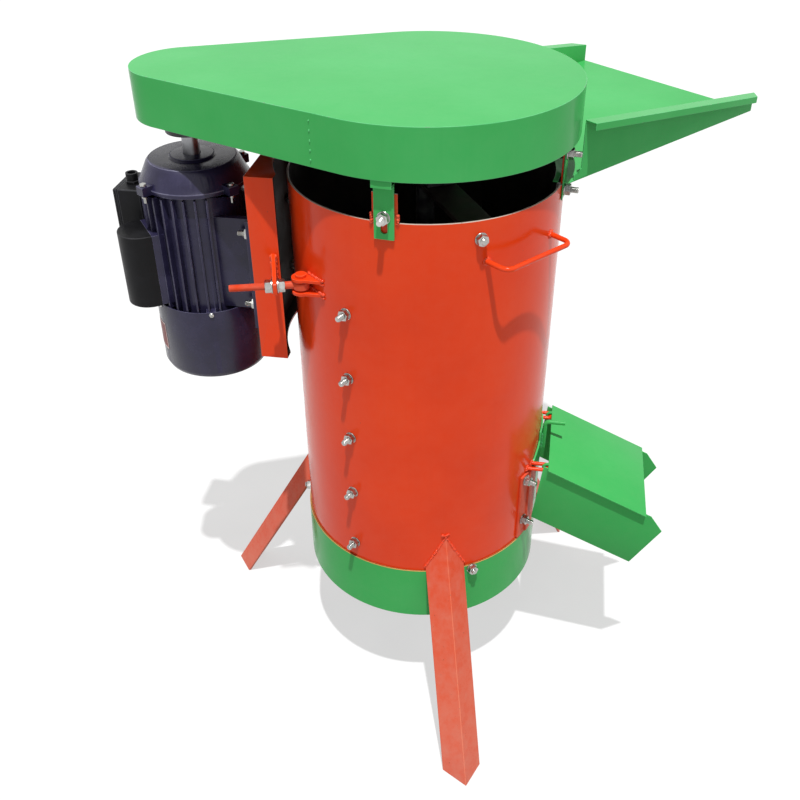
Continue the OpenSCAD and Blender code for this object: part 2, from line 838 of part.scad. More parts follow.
module scraper_bolts() color(zinc) place()
    for (a = [scraper_angle, scraper_angle + 180], i = [0 : scraper_bolts_n - 1])
        rotate([0, 0, a]) translate([0, 0, scraper_bolt_z(i)])
            bolt_set(scraper_x - scraper_t, drum_r + run_gap, tip_long);

driven_hub_low = pulley_low - driven_hub_drop;
driven_hub_top = driven_hub_low + driven_hub_h;

module main_shaft() color(zinc) place() {
    disc(shaft_r, shaft_low, driven_hub_top);
    disc(shaft_r - shaft_step, driven_hub_top, driven_hub_top + pulley_nut_h + shaft_over);
}

module turntable() color("dimgray") place() difference() {
    union() {
        disc(table_r, table_z, table_z + table_t);
        disc(table_hub_r, table_z - table_hub_h, table_z + table_t + table_hub_h);
    }
    disc(shaft_r + run_gap, table_z - table_hub_h - cut, table_z + table_t + table_hub_h + cut);
}

module beater_bars() color("gray") place() for (i = [0 : beater_count - 1])
    rotate([0, 0, 45 + i * 360 / beater_count])
        translate([table_hub_r + beater_hub_gap, -beater_w / 2, table_z + table_t])
            cube([table_r - beater_rim_gap - table_hub_r - beater_hub_gap, beater_w, beater_h]);

// Pulley with one V-groove, on its axis
module pulley(r, hub_r, z_hub, h_hub, bore, web_t) difference() {
    half = belt_w / 2 + belt_play;
    mouth = half + belt_slope * (belt_set + cut);
    root = half - belt_slope * (groove_depth - belt_set);
    rim_in = r - groove_depth - pulley_rim_t;
    union() {
        difference() {
            disc(r, pulley_low, pulley_low + pulley_h);
            translate([0, 0, belt_z]) rotate_extrude()
                polygon([[r + cut, mouth], [r + cut, -mouth], [r - groove_depth, -root],
                         [r - groove_depth, root]]);
            if (web_t > 0) {
                tube(rim_in, hub_r, pulley_low - cut, belt_z - web_t / 2);
                tube(rim_in, hub_r, belt_z + web_t / 2, pulley_low + pulley_h + cut);
            }
        }
        disc(hub_r, z_hub, z_hub + h_hub);
    }
    disc(bore + run_gap, z_hub - cut, max(z_hub + h_hub, pulley_low + pulley_h) + cut);
}

module driven_pulley() color("dimgray") place()
    pulley(driven_r, driven_hub_r, driven_hub_low, driven_hub_h, shaft_r, pulley_web_t);

module pulley_nut() color(zinc) place() difference() {
    translate([0, 0, driven_hub_top]) cylinder(r = pulley_nut_r, h = pulley_nut_h, $fn = 6);
    disc(shaft_r - shaft_step + run_gap, driven_hub_top - cut, driven_hub_top + pulley_nut_h + cut);
}

module motor_pulley() color("dimgray") motor_place()
    pulley(drive_r, drive_hub_r, motor_pulley_low, drive_hub_h, motor_shaft_r, 0);

// Section of the belt, narrowed by a small inset
module belt_profile(r, inset) {
    outer = belt_w / 2 - inset;
    inner = belt_w / 2 - belt_t * belt_slope - 2 * inset;
    polygon([[r - inset, -outer], [r - inset, outer],
             [r - belt_t + inset, inner], [r - belt_t + inset, -inner]]);
}

module v_belt() color("black") place() translate([0, 0, belt_z]) {
    phi = acos(-(belt_driven - belt_drive) / motor_offset);
    run = sqrt(pow(motor_offset, 2) - pow(belt_driven - belt_drive, 2));
    rotate([0, 0, -phi]) rotate_extrude(angle = 2 * phi) belt_profile(belt_driven, 0);
    translate([motor_x, 0, 0]) rotate([0, 0, phi]) rotate_extrude(angle = 360 - 2 * phi)
        belt_profile(belt_drive, 0);
    for (side = [0, 1]) mirror([0, side, 0]) rotate([0, 0, phi]) translate([0, run + cut, 0])
        rotate([90, 0, 0]) linear_extrude(run + 2 * cut) belt_profile(belt_driven, join_step);
}

// Belt guard

module belt_guard() color(green) place() difference() {
    teardrop(guard_r, guard_small_r, guard_span, guard_low, guard_top);
    teardrop(guard_r - guard_t, guard_small_r - guard_t, guard_span, guard_low - 1, guard_top - guard_t);
}

strap_in = drum_r + seat_gap;
strap_up = sqrt(pow(guard_r - guard_t, 2) - pow(strap_w / 2, 2)) - seat_gap;
strap_tail = 25;
strap_step = 12;
strap_lap = 30;
slot_ease = 0.2;
strap_low = rim_z - strap_tail;
strap_knee = guard_low - strap_step;
strap_head = guard_low + strap_lap;

// Strap joggled from the drum's face out to the guard's wall, with a bolt slot
module guard_strap(angle) color(green) place() rotate([0, 0, angle]) difference() {
    union() {
        translate([strap_in, -strap_w / 2, strap_low])
            cube([strap_t, strap_w, strap_knee - strap_low + strap_t]);
        translate([strap_in, -strap_w / 2, strap_knee]) cube([strap_up - strap_in, strap_w, strap_t]);
        translate([strap_up - strap_t, -strap_w / 2, strap_knee])
            cube([strap_t, strap_w, strap_head - strap_knee]);
    }
    for (drop = [0, strap_slot]) radial_hole(rim_z + strap_bolt_rise - drop);
    translate([strap_in - cut, slot_ease - hole_r, rim_z + strap_bolt_rise - strap_slot])
        cube([strap_t + 2 * cut, 2 * (hole_r - slot_ease), strap_slot]);
}

module guard_strap_front() guard_strap(strap_front);

module guard_strap_rear() guard_strap(strap_rear);

module guard_bolts() color(zinc) place() for (a = [strap_front, strap_rear])
    rotate([0, 0, a]) translate([0, 0, rim_z + strap_bolt_rise])
        bolt_set(drum_in - seat_gap, strap_in + strap_t, tip_long);

// Feed chute

module feed_bolt_levels() for (z = [-feed_bolt_drop, feed_bolt_rise])
    translate([0, 0, rim_z + z]) children();

module feed_sheet(points, y0, y1) translate([0, y1, 0]) rotate([90, 0, 0]) linear_extrude(y1 - y0)
    polygon(points);

// Side wall with its flange and lip, on the +Y side
module feed_side() {
    feed_sheet([[feed_toe_x, feed_under(feed_toe_x)], [feed_reach, feed_under(feed_reach)],
                [feed_reach, feed_top(feed_reach)], [feed_wall_x, feed_top(feed_wall_x)],
                [feed_wall_x, rim_z + feed_heel_rise], [feed_toe_x, rim_z + feed_toe_rise]],
               feed_half, feed_edge);
    difference() {
        union() {
            feed_sheet(feed_strip(feed_t), feed_edge - feed_t / 2, feed_edge + feed_flange);
            feed_sheet(feed_strip(feed_lip), feed_edge + feed_flange - feed_t, feed_edge + feed_flange);
        }
        translate([feed_reach, feed_edge, rim_z]) rotate([0, 0, 45])
            translate([0, -feed_flange, 0]) cube([feed_flange, 4 * feed_flange, feed_reach]);
    }
}

// Upright ear of the chute, outside a lug of the drum
module feed_ear(side) rotate([0, 0, side * feed_ear_angle]) difference() {
    translate([drum_r + seat_gap, -feed_ear_w / 2, rim_z - feed_ear_tail])
        cube([feed_t, feed_ear_w, feed_ear_tail + feed_lug_h - feed_ear_drop]);
    feed_bolt_levels() radial_hole(0);
}

module feed_chute() color(green) place() rotate([0, 0, feed_angle]) {
    difference() {
        feed_sheet([[0, feed_under(0)], [feed_reach, feed_under(feed_reach)],
                    [feed_reach, feed_under(feed_reach) + feed_t], [0, feed_under(0) + feed_t]],
                   -feed_edge, feed_edge);
        disc(feed_in_r, rim_z - feed_lug_h, rim_z + feed_lug_h);
        for (side = [-1, 1]) rotate([0, 0, side * (feed_cut_angle + 45) - 45])
            translate([0, 0, rim_z - feed_lug_h]) cube([2 * drum_r, 2 * drum_r, 2 * feed_lug_h]);
        for (side = [-1, 1]) rotate([0, 0, side * feed_ear_angle])
            translate([drum_in - feed_notch, -feed_lug_w / 2 - feed_ear_drop, rim_z - feed_lug_h])
                cube([drum_wall + feed_notch + seat_gap, feed_lug_w + 2 * feed_ear_drop, 2 * feed_lug_h]);
    }
    for (side = [-1, 1]) feed_ear(side);
    feed_side();
    mirror([0, 1, 0]) feed_side();
}

module feed_bolts() color(zinc) place() for (side = [-1, 1])
    rotate([0, 0, feed_angle + side * feed_ear_angle]) feed_bolt_levels()
        bolt_set(drum_in - seat_gap, drum_r + seat_gap + feed_t + run_gap, tip_long);

// Gate and its guides

module gate_outline() translate([gate_in - rod_root, 0, 0]) rotate([90, 0, 90])
    linear_extrude(2 * rod_root)
    polygon([[-gate_w / 2, gate_low], [gate_w / 2, gate_low], [gate_w / 2, gate_top],
             [gate_tongue_w / 2, gate_top + gate_tongue_h / 2],
             [gate_tongue_w / 2, gate_top + gate_tongue_h], [-gate_tongue_w / 2, gate_top + gate_tongue_h],
             [-gate_tongue_w / 2, gate_top + gate_tongue_h / 2], [-gate_w / 2, gate_top]]);

module gate() color(green) place() intersection() {
    tube(gate_out, gate_in, gate_low - 1, gate_top + gate_tongue_h + 1);
    gate_outline();
}

// Rod that stands on the gate's tongue and bends outwards
module gate_handle() color(green) place() {
    translate([gate_rod_x, 0, gate_rod_low])
        cylinder(r = gate_rod_r, h = gate_rod_z - gate_rod_bend - gate_rod_low);
    translate([gate_rod_x + gate_rod_bend, 0, gate_rod_z - gate_rod_bend]) rotate([90, 0, 180])
        rotate_extrude(angle = 90) translate([gate_rod_bend, 0]) circle(r = gate_rod_r);
    translate([gate_rod_x + gate_rod_bend, 0, gate_rod_z]) rotate([0, 90, 0])
        cylinder(r = gate_rod_r, h = gate_handle_reach - gate_rod_bend);
}

// Strip bolted to the drum, with a lip over the gate's edge and a stop under its corner
module gate_guide() difference() {
    union() {
        arc(guide_base_in, guide_lip_in, gate_edge_angle + guide_gap_angle, guide_end_angle,
            guide_low, guide_top);
        arc(guide_lip_in, guide_lip_out, guide_lip_angle, guide_lip_end_angle, guide_low, guide_top);
        arc(guide_base_in, guide_lip_in, guide_lip_angle, gate_edge_angle + guide_gap_angle,
            guide_low, gate_low - seat_gap);
    }
    for (z = [guide_bolt_low, guide_bolt_high]) rotate([0, 0, guide_bolt_angle]) radial_hole(z);
}

module gate_guide_near() color(orange) place() mirror([0, 1, 0]) gate_guide();

module gate_guide_far() color(orange) place() gate_guide();

module guide_bolts() color(zinc) place() for (side = [-1, 1], z = [guide_bolt_low, guide_bolt_high])
    rotate([0, 0, side * guide_bolt_angle]) translate([0, 0, z])
        bolt_set(drum_in - seat_gap, guide_lip_in + run_gap, tip_long);

// Discharge hood

// Hook curled over a staple's bar and run up under the cover
module hood_hook(y) translate([hook_x, y, hook_z]) {
    ring_r = staple_r + seat_gap + hook_r;
    rotate([90, 0, 0]) rotate([0, 0, -20]) rotate_extrude(angle = 230)
        translate([ring_r, 0]) circle(r = hook_r);
    rotate([0, hood_slope, 0]) translate([0, 0, ring_r]) rotate([0, 90, 0])
        cylinder(r = hook_r, h = hook_l);
}

module discharge_hood() color(green) place() {
    translate([hood_x, 0, hood_z]) rotate([0, hood_slope, 0]) {
        translate([0, -hood_half, -hood_t]) cube([hood_l, 2 * hood_half, hood_t]);
        for (side = [-1, 1]) translate([0, side * (hood_wall_y - hood_t / 2) + hood_t / 2, 0])
            rotate([90, 0, 0]) linear_extrude(hood_t)
                polygon([[-hood_back, -hood_t], [hood_l + hood_nose, -hood_t],
                         [hood_l + hood_tip, -hood_tip_drop], [hood_l + hood_toe, -hood_d],
                         [hood_heel, -hood_d]]);
    }
    for (side = [-1, 1]) hood_hook(side * staple_y);
}

module hood_staples() color(orange) place() difference() {
    for (side = [-1, 1]) translate([drum_in - rod_root, side * staple_y, hook_z])
        u_rod(staple_span, hook_x - drum_in + rod_root, staple_r, staple_bend);
    disc(drum_r + seat_gap, hook_z - rod_root, hook_z + rod_root);
}

module carry_handle() color(orange) place() rotate([0, 0, handle_angle]) difference() {
    translate([drum_in - rod_root, 0, rim_z - handle_drop])
        u_rod(handle_span, drum_wall + rod_root + handle_reach, handle_rod_r, handle_bend);
    disc(drum_r + seat_gap, rim_z - handle_drop - rod_root, rim_z - handle_drop + rod_root);
}

// Motor plate, its hinge and the belt tensioner

module plate_flanges() difference() {
    translate([plate_x, -plate_half, plate_low]) cube([plate_d, 2 * plate_half, plate_h]);
    translate([plate_x + plate_t, plate_t - plate_half, plate_low + plate_t])
        cube([plate_d, 2 * (plate_half - plate_t), plate_h - 2 * plate_t]);
    disc(plate_cut_r, plate_low - 1, plate_top + 1);
}

module knuckle(z) translate([0, 0, z + lug_plate_t + seat_gap]) {
    translate([hinge_x, hinge_y, 0]) cylinder(r = hinge_r, h = knuckle_h);
    translate([hinge_x - hinge_r + cut, plate_half - cut, 0])
        cube([hinge_r, hinge_y - plate_half + cut, knuckle_h]);
}

module at_tab() translate([tab_x, tab_y, rod_z]) rotate([0, 0, rod_angle]) children();

module tab() at_tab() translate([-tab_t / 2, 0, 0]) rotate([90, 0, 90]) linear_extrude(tab_t)
    polygon([[tab_base - 2 * cut, -tab_root_half], [0, -tab_half], [tab_nose, -tab_nose_half],
             [tab_nose, tab_nose_half], [0, tab_half], [tab_base - 2 * cut, tab_root_half]]);

module foot_bolt_place() for (side = [-1, 1], level = [-1, 1])
    translate([plate_x, side * foot_bolt_y / 2, foot_bolt_mid + level * foot_bolt_z / 2]) children();

module motor_plate() color(orange) place() difference() {
    union() {
        plate_flanges();
        for (z = hinge_levels) knuckle(z);
        tab();
    }
    at_tab() rotate([0, 90, 0]) translate([0, 0, -tab_t]) cylinder(r = tab_hole_r, h = 2 * tab_t);
    translate([hinge_x, hinge_y, 0]) disc(hinge_pin_r + run_gap, plate_low, plate_top);
    foot_bolt_place() rotate([0, 90, 0]) translate([0, 0, -plate_t])
        cylinder(r = hole_r, h = 3 * plate_t);
}

module hinge_lugs() color(orange) place() difference() {
    for (z = hinge_levels) {
        translate([hinge_x, hinge_y, z]) cylinder(r = hinge_r, h = lug_plate_t);
        rotate([0, 0, atan2(hinge_y, hinge_x)]) translate([drum_in - rod_root, -hinge_r + cut, z])
            cube([norm([hinge_x, hinge_y]) - drum_in + rod_root, 2 * (hinge_r - cut), lug_plate_t]);
    }
    disc(drum_r + seat_gap, plate_low, plate_top);
    translate([hinge_x, hinge_y, 0]) disc(hinge_pin_r + run_gap, plate_low, plate_top);
}

module hinge_pins() color(zinc) place() for (z = hinge_levels) translate([hinge_x, hinge_y, z]) {
    translate([0, 0, -pin_tail]) cylinder(r = hinge_pin_r, h = lug_plate_t + knuckle_h + 2 * pin_tail);
    translate([0, 0, lug_plate_t + knuckle_h + 2 * seat_gap])
        cylinder(r = hinge_pin_r + pin_head_w, h = pin_head_h);
}

module clevis_ear(z) {
    translate([clevis_x, clevis_y, z]) cylinder(r = eye_r + ear_edge, h = ear_t);
    translate([clevis_x, clevis_y - eye_r, z]) cube([clevis_out + 4 * ear_gap, 2 * eye_r, ear_t]);
}

module clevis() color(orange) place() difference() {
    for (z = [rod_z - ear_gap - ear_t, rod_z + ear_gap]) clevis_ear(z);
    disc(drum_r + seat_gap, rod_z - rod_root, rod_z + rod_root);
    translate([clevis_x, clevis_y, 0]) disc(rod_r + run_gap, rod_z - rod_root, rod_z + rod_root);
}

module clevis_pin() color(zinc) place() translate([clevis_x, clevis_y, rod_z]) {
    disc(rod_r, -ear_gap - ear_t - clevis_tail, ear_gap + ear_t + clevis_over);
    disc(rod_r + clevis_head_w, ear_gap + ear_t + seat_gap, ear_gap + ear_t + clevis_head_h);
}

module at_pin() translate([clevis_x, clevis_y, rod_z]) rotate([0, 0, rod_angle]) children();

module eye_bolt() color(orange) place() at_pin() difference() {
    union() {
        disc(eye_r, -eye_h / 2, eye_h / 2);
        translate([eye_r - eye_wall / 2, 0, 0]) rotate([0, 90, 0])
            cylinder(r = rod_r, h = rod_l - eye_r + eye_wall / 2);
    }
    disc(rod_r + run_gap, -eye_h, eye_h);
}

module adjuster_nut() rotate([0, 90, 0]) difference() {
    translate([0, 0, tab_t / 2 + nut_play]) {
        cylinder(r = rod_washer_r, h = washer_t);
        translate([0, 0, washer_t]) cylinder(r = rod_nut_r, h = rod_nut_h, $fn = 6);
    }
    cylinder(r = rod_r + run_gap, h = 2 * tab_out);
}

module adjuster_nuts() color(zinc) place() at_tab() for (turn = [0, 180])
    rotate([0, 0, turn]) adjuster_nut();

// Motor

module fins() for (i = [0 : fin_count - 1]) {
    a = i * 360 / fin_count;
    if (a > fin_from && a < 360 - fin_from) rotate([0, 0, a])
        translate([barrel_r - cut, -fin_t / 2, frame_low + fin_low])
            cube([motor_r - barrel_r + cut, fin_t, frame_h - fin_low - fin_drop]);
}

module motor_feet() for (side = [-1, 1]) {
    translate([motor_h - foot_t, side * foot_bolt_y / 2 - foot_w / 2, foot_low])
        cube([foot_t, foot_w, foot_h]);
    translate([rib_x, side * rib_y - rib_t / 2, frame_low + cover_lap + rib_gap])
        cube([motor_h - foot_t - rib_x + cut, rib_t, foot_h - rib_short]);
}

module motor_pads() {
    translate([box_x, box_y - box_w / 2 + box_pad_edge, box_top - box_h + box_pad_edge])
        cube([box_pad_in, box_w - 2 * box_pad_edge, box_h - 2 * box_pad_edge]);
    rotate([0, 0, cap_angle]) translate([barrel_r - pad_root, cut - cap_cover_r, cap_low + cut])
        cube([cap_seat - barrel_r + pad_root, 2 * (cap_cover_r - cut), cap_cover_h - 2 * cut]);
    for (a = cover_screw_angles) rotate([0, 0, a])
        translate([barrel_r - pad_root, -screw_pad_w / 2, frame_low])
            cube([fan_cover_r - cover_t - cover_seat - barrel_r + pad_root, screw_pad_w, cover_lap]);
}

module motor_frame() color(navy) motor_place() difference() {
    union() {
        disc(barrel_r, frame_low, frame_top);
        fins();
        motor_feet();
        motor_pads();
    }
    disc(stator_r, frame_low + shield_t, frame_top + cut);
    disc(motor_shaft_r + run_gap, frame_low - cut, frame_low + shield_t + cut);
    translate([-motor_x, 0, 0]) foot_bolt_place() rotate([0, -90, 0]) translate([0, 0, -cut])
        cylinder(r = hole_r, h = foot_t + 2 * cut);
    for (a = cover_screw_angles) rotate([0, 0, a])
        translate([barrel_r - cut, 0, frame_low + cover_lap / 2])
            rotate([0, 90, 0]) cylinder(r = screw_r + run_gap, h = fan_cover_r - barrel_r + 2 * cut);
}

module motor_stator() color("sienna") motor_place()
    tube(stator_r - seat_gap, rotor_core_r + rotor_gap, frame_low + core_low_gap, frame_top - core_top_gap);

module motor_rotor() color(zinc) motor_place() {
    disc(motor_shaft_r, frame_low - fan_cover_h + shaft_tail, pulley_low + pulley_h + motor_shaft_over);
    disc(rotor_core_r, frame_low + core_low_gap + core_step, frame_top - core_top_gap - core_step);
}

module motor_bell() color(navy) motor_place() difference() {
    union() {
        rotate_extrude()
            polygon([[0, frame_top], [motor_r, frame_top], [motor_r, frame_top + bell_rim_h],
                     [motor_r - bell_chamfer, frame_top + bell_rim_h + bell_chamfer],
                     [motor_r - bell_slope_in, bell_top - bell_crown_drop],
                     [motor_r - bell_crown_in, bell_top], [bell_boss_r + bell_boss_h, bell_top],
                     [bell_boss_r, bell_top + bell_boss_h], [0, bell_top + bell_boss_h]]);
        for (a = bell_lug_angles) rotate([0, 0, a])
            translate([motor_r - bell_lug_root, -bell_lug_w / 2, frame_top])
                cube([bell_lug_root + bell_lug_out + bell_lug_end, bell_lug_w, bell_lug_h]);
    }
    disc(stator_r, frame_top - cut, bell_top - bell_roof);
    disc(motor_shaft_r + run_gap, frame_top, bell_top + bell_boss_h + cut);
    for (a = bell_lug_angles) rotate([0, 0, a]) translate([bell_lug_x, 0, 0])
        disc(bell_bolt_r + bell_bolt_play, frame_top - cut, frame_top + bell_lug_h + cut);
}

module bell_bolts() color(zinc) motor_place() for (a = bell_lug_angles) rotate([0, 0, a])
    translate([bell_lug_x, 0, frame_top]) {
        translate([0, 0, -bell_bolt_tail])
            cylinder(r = bell_bolt_r, h = bell_bolt_tail + bell_lug_h + bell_bolt_over);
        translate([0, 0, bell_lug_h]) cylinder(r = bell_head_r, h = bell_head_h, $fn = 6);
        translate([0, 0, -bell_nut_h]) cylinder(r = bell_nut_r, h = bell_nut_h, $fn = 6);
    }

module fan_cover() color(navy) motor_place() difference() {
    low = frame_low - fan_cover_h;
    r = fan_cover_r;
    inner = r - cover_t;
    top = frame_low + cover_lap;
    rotate_extrude()
        polygon([[0, low], [r - cover_corner, low], [r - 0.8 * cover_knee, low + cover_knee],
                 [r, low + cover_corner], [r, top], [inner, top], [inner, low + cover_corner],
                 [r - cover_knee - cut, low + cover_knee + cover_t],
                 [r - cover_corner - cut, low + cover_t], [0, low + cover_t]]);
    for (i = [0 : cover_slots - 1]) rotate([0, 0, i * 360 / cover_slots])
        translate([cover_slot_in, -cover_slot_w / 2, low - cut])
            cube([r - cover_slot_rim - cover_slot_in, cover_slot_w, cover_t + 2 * cut]);
    for (a = cover_screw_angles) rotate([0, 0, a])
        translate([inner - cut, 0, frame_low + cover_lap / 2])
            rotate([0, 90, 0]) cylinder(r = screw_r + 2 * run_gap, h = cover_t + 2 * cut);
}

module fan_cover_screws() color(zinc) motor_place() for (a = cover_screw_angles) rotate([0, 0, a])
    translate([barrel_r, 0, frame_low + cover_lap / 2]) rotate([0, 90, 0]) {
        cylinder(r = screw_r, h = fan_cover_r - barrel_r + cut);
        translate([0, 0, fan_cover_r - barrel_r + run_gap]) cylinder(r = screw_head_r, h = screw_head_h);
    }

module cooling_fan() color("dimgray") motor_place() difference() {
    low = frame_low - fan_cover_h + fan_rise;
    disc_z = low + fan_hub_h - fan_disc_drop;
    blade_x = motor_shaft_r + fan_hub_wall / 2;
    union() {
        disc(motor_shaft_r + fan_hub_wall, low, low + fan_hub_h);
        disc(fan_cover_r - fan_gap, disc_z, disc_z + fan_disc_t);
        for (i = [0 : fan_blades - 1]) rotate([0, 0, i * 360 / fan_blades])
            translate([blade_x, -fan_blade_t / 2, low + fan_disc_t])
                cube([fan_cover_r - fan_blade_rim - blade_x, fan_blade_t, disc_z - low - fan_disc_t + cut]);
    }
    disc(motor_shaft_r + run_gap, low - cut, low + fan_hub_h + cut);
}

module terminal_box() color("dimgray") motor_place() difference() {
    translate([box_x - box_d + lid_t, box_y - box_w / 2, box_top - box_h])
        cube([box_d - lid_t, box_w, box_h]);
    translate([box_x - box_d, box_y - box_w / 2 + box_wall, box_top - box_h + box_wall])
        cube([box_d - box_wall, box_w - 2 * box_wall, box_h - 2 * box_wall]);
    translate([gland_x, gland_y, 0]) disc(gland_bore_r, box_top - box_wall - cut, box_top + cut);
}

module terminal_lid() color("dimgray") motor_place()
    translate([box_x - box_d, box_y - box_w / 2, box_top - box_h]) cube([lid_t, box_w, box_h]);

module cable_gland() color("dimgray") motor_place() translate([gland_x, gland_y, box_top])
    difference() {
        union() {
            cylinder(r = gland_r + gland_nut_step, h = gland_nut_h, $fn = 6);
            cylinder(r = gland_r - gland_stem_step, h = gland_h);
        }
        translate([0, 0, -cut]) cylinder(r = gland_bore_r, h = gland_h + 2 * cut);
    }

// Shell with a flat back towards the motor and a round front
module cap_shape(r, front, z0, z1) {
    translate([cap_seat, -r, z0]) cube([front, 2 * r, z1 - z0]);
    translate([cap_seat + front, 0, 0]) arc(0, r, -90, 90, z0, z1);
}

module capacitor_cover() color("dimgray") motor_place() rotate([0, 0, cap_angle]) difference() {
    cap_shape(cap_cover_r, cap_straight, cap_low, cap_low + cap_cover_h);
    translate([-cut, 0, 0])
        cap_shape(cap_cover_r - cap_wall, cap_straight + cut, cap_low + cap_wall,
                  cap_low + cap_cover_h - cap_wall);
}

module run_capacitor() color("lightgray") motor_place() rotate([0, 0, cap_angle])
    translate([cap_seat + cap_body_r + seat_gap, 0, 0])
        disc(cap_body_r, cap_low + cap_room, cap_low + cap_room + cap_body_h);

module foot_bolts() color(zinc) place() foot_bolt_place() rotate([0, 0, 180])
    bolt_set(-plate_t, foot_t, tip_long);

drum_shell();
bottom_ring();
leg_front();
leg_left();
leg_rear();
ring_bolts();
bottom_grate();
lower_bridge();
lower_bearing();
upper_bridge();
upper_bearing();
bearing_bolts();
bridge_bolts();
wall_scraper_front();
wall_scraper_rear();
scraper_bolts();
main_shaft();
turntable();
beater_bars();
driven_pulley();
pulley_nut();
motor_pulley();
v_belt();
belt_guard();
guard_strap_front();
guard_strap_rear();
guard_bolts();
feed_chute();
feed_bolts();
gate_guide_near();
gate_guide_far();
guide_bolts();
gate();
gate_handle();
discharge_hood();
hood_staples();
carry_handle();
hinge_lugs();
hinge_pins();
clevis();
clevis_pin();
eye_bolt();
adjuster_nuts();
motor_plate();
motor_frame();
motor_stator();
motor_rotor();
motor_bell();
bell_bolts();
fan_cover();
fan_cover_screws();
cooling_fan();
terminal_box();
terminal_lid();
cable_gland();
capacitor_cover();
run_capacitor();
foot_bolts();
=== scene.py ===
# Looks of the walnut huller: enamelled sheet steel, zinc-plated bolts, welds and the dark motor.
import json
import math

import bmesh
import bpy
from mathutils import Matrix, Vector


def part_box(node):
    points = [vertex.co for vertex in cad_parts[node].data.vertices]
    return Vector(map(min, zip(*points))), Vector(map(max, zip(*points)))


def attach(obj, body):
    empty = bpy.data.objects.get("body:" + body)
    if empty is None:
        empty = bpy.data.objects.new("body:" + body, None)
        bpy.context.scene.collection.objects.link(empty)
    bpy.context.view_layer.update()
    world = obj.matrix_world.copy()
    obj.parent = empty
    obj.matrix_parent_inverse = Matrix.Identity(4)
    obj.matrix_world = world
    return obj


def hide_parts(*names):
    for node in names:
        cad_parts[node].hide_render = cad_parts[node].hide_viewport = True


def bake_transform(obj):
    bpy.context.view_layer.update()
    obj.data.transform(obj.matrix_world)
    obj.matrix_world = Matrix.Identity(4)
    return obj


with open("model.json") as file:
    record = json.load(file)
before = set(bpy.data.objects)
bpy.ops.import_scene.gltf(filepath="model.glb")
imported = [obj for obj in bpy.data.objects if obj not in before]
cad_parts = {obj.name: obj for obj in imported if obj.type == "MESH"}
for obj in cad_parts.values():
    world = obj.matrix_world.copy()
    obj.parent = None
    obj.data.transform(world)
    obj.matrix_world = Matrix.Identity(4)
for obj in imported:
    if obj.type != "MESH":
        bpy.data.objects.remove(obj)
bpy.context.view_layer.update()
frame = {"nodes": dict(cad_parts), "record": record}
MM = 0.001

# The drum's axis in the shared frame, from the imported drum
drum_low, drum_high = (Vector(corner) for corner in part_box("drum_shell"))
AXIS_X = (drum_low.x + drum_high.x) / 2
AXIS_Y = (drum_low.y + drum_high.y) / 2

# Sizes and places that the looks share with the solids, in millimetres from the drum's axis and the floor,
# and directions round the axis in degrees
DRUM_R = 220
RIM_Z = 1006
RING_TOP_Z = 330
LEG_DIRECTIONS = (-71, 49, 169)
LUG_DIRECTIONS = (-97, 111.5)
BRIDGE_DIRECTION = -60.6
GUARD_SPAN = 378
MOTOR_X = -388
FAN_COVER_R = 95
CLEVIS = (-170.9, -162.75, 866)
ROD_DIRECTION = 196
ROD_R = 6
TAB_OUT = 41
# The hollow side of the motor plate, inside its sheet: face, half width, lower and upper end
PLATE_FACE_X = -257.5
PLATE_HALF_Y = 120.5
PLATE_LOW_Z = 704.5
PLATE_HIGH_Z = 1017.5


def spot(x, y, z):
    """A point in metres from millimetres beside the drum's axis and above the floor."""
    return Vector((AXIS_X + x * MM, AXIS_Y + y * MM, z * MM))


def outward(degrees):
    """The level direction at an angle from +X towards +Y."""
    return Vector((math.cos(math.radians(degrees)), math.sin(math.radians(degrees)), 0))


def round_spot(radius, degrees, z):
    """A point in metres at a radius and a direction round the drum's axis."""
    way = outward(degrees)
    return spot(radius * way.x, radius * way.y, z)


# Materials

SPLASH_TOP = 0.42  # metres above the floor that splashed dust reaches


def linear(code):
    """A linear colour from an sRGB hex value."""
    parts = [int(code[i:i + 2], 16) / 255 for i in (1, 3, 5)]
    return [c / 12.92 if c <= 0.04045 else ((c + 0.055) / 1.055) ** 2.4 for c in parts] + [1]


def add(tree, kind, settings=None, **sockets):
    """Adds a node. Settings are its properties; each socket, by name or as i and its number, gets a value
    or a link."""
    node = tree.nodes.new(kind)
    for name, value in (settings or {}).items():
        setattr(node, name, value)
    for name, value in sockets.items():
        place = int(name[1:]) if name[1:].isdigit() else name.replace("_", " ")
        if isinstance(value, bpy.types.NodeSocket):
            tree.links.new(value, node.inputs[place])
        else:
            node.inputs[place].default_value = value
    return node


def ramp(tree, factor, stops):
    """A colour ramp over a factor, from (place, hex) pairs."""
    node = add(tree, "ShaderNodeValToRGB", Fac=factor)
    band = node.color_ramp
    while len(band.elements) < len(stops):
        band.elements.new(1)
    for element, (place, code) in zip(band.elements, stops):
        element.position = place
        element.color = linear(code)
    return node.outputs["Color"]


def new_material(name):
    """A material without nodes, its tree, and the coordinates of the piece it is on."""
    material = bpy.data.materials.new(name)
    material.use_nodes = True
    tree = material.node_tree
    tree.nodes.clear()
    return material, tree, add(tree, "ShaderNodeTexCoord").outputs["Object"]


def noise(tree, place, scale, detail=3.0, roughness=0.55):
    """A cloudy pattern from 0 to 1."""
    return add(tree, "ShaderNodeTexNoise", Vector=place, Scale=scale, Detail=detail,
               Roughness=roughness).outputs["Fac"]


def spread(tree, value, low, high, to_low, to_high):
    """Maps a value between two limits to another range."""
    return add(tree, "ShaderNodeMapRange", Value=value, From_Min=low, From_Max=high, To_Min=to_low,
               To_Max=to_high).outputs["Result"]


def blend(tree, factor, first, second):
    """Mixes two colours."""
    return add(tree, "ShaderNodeMix", {"data_type": "RGBA"}, Factor=factor, i6=first, i7=second).outputs[2]


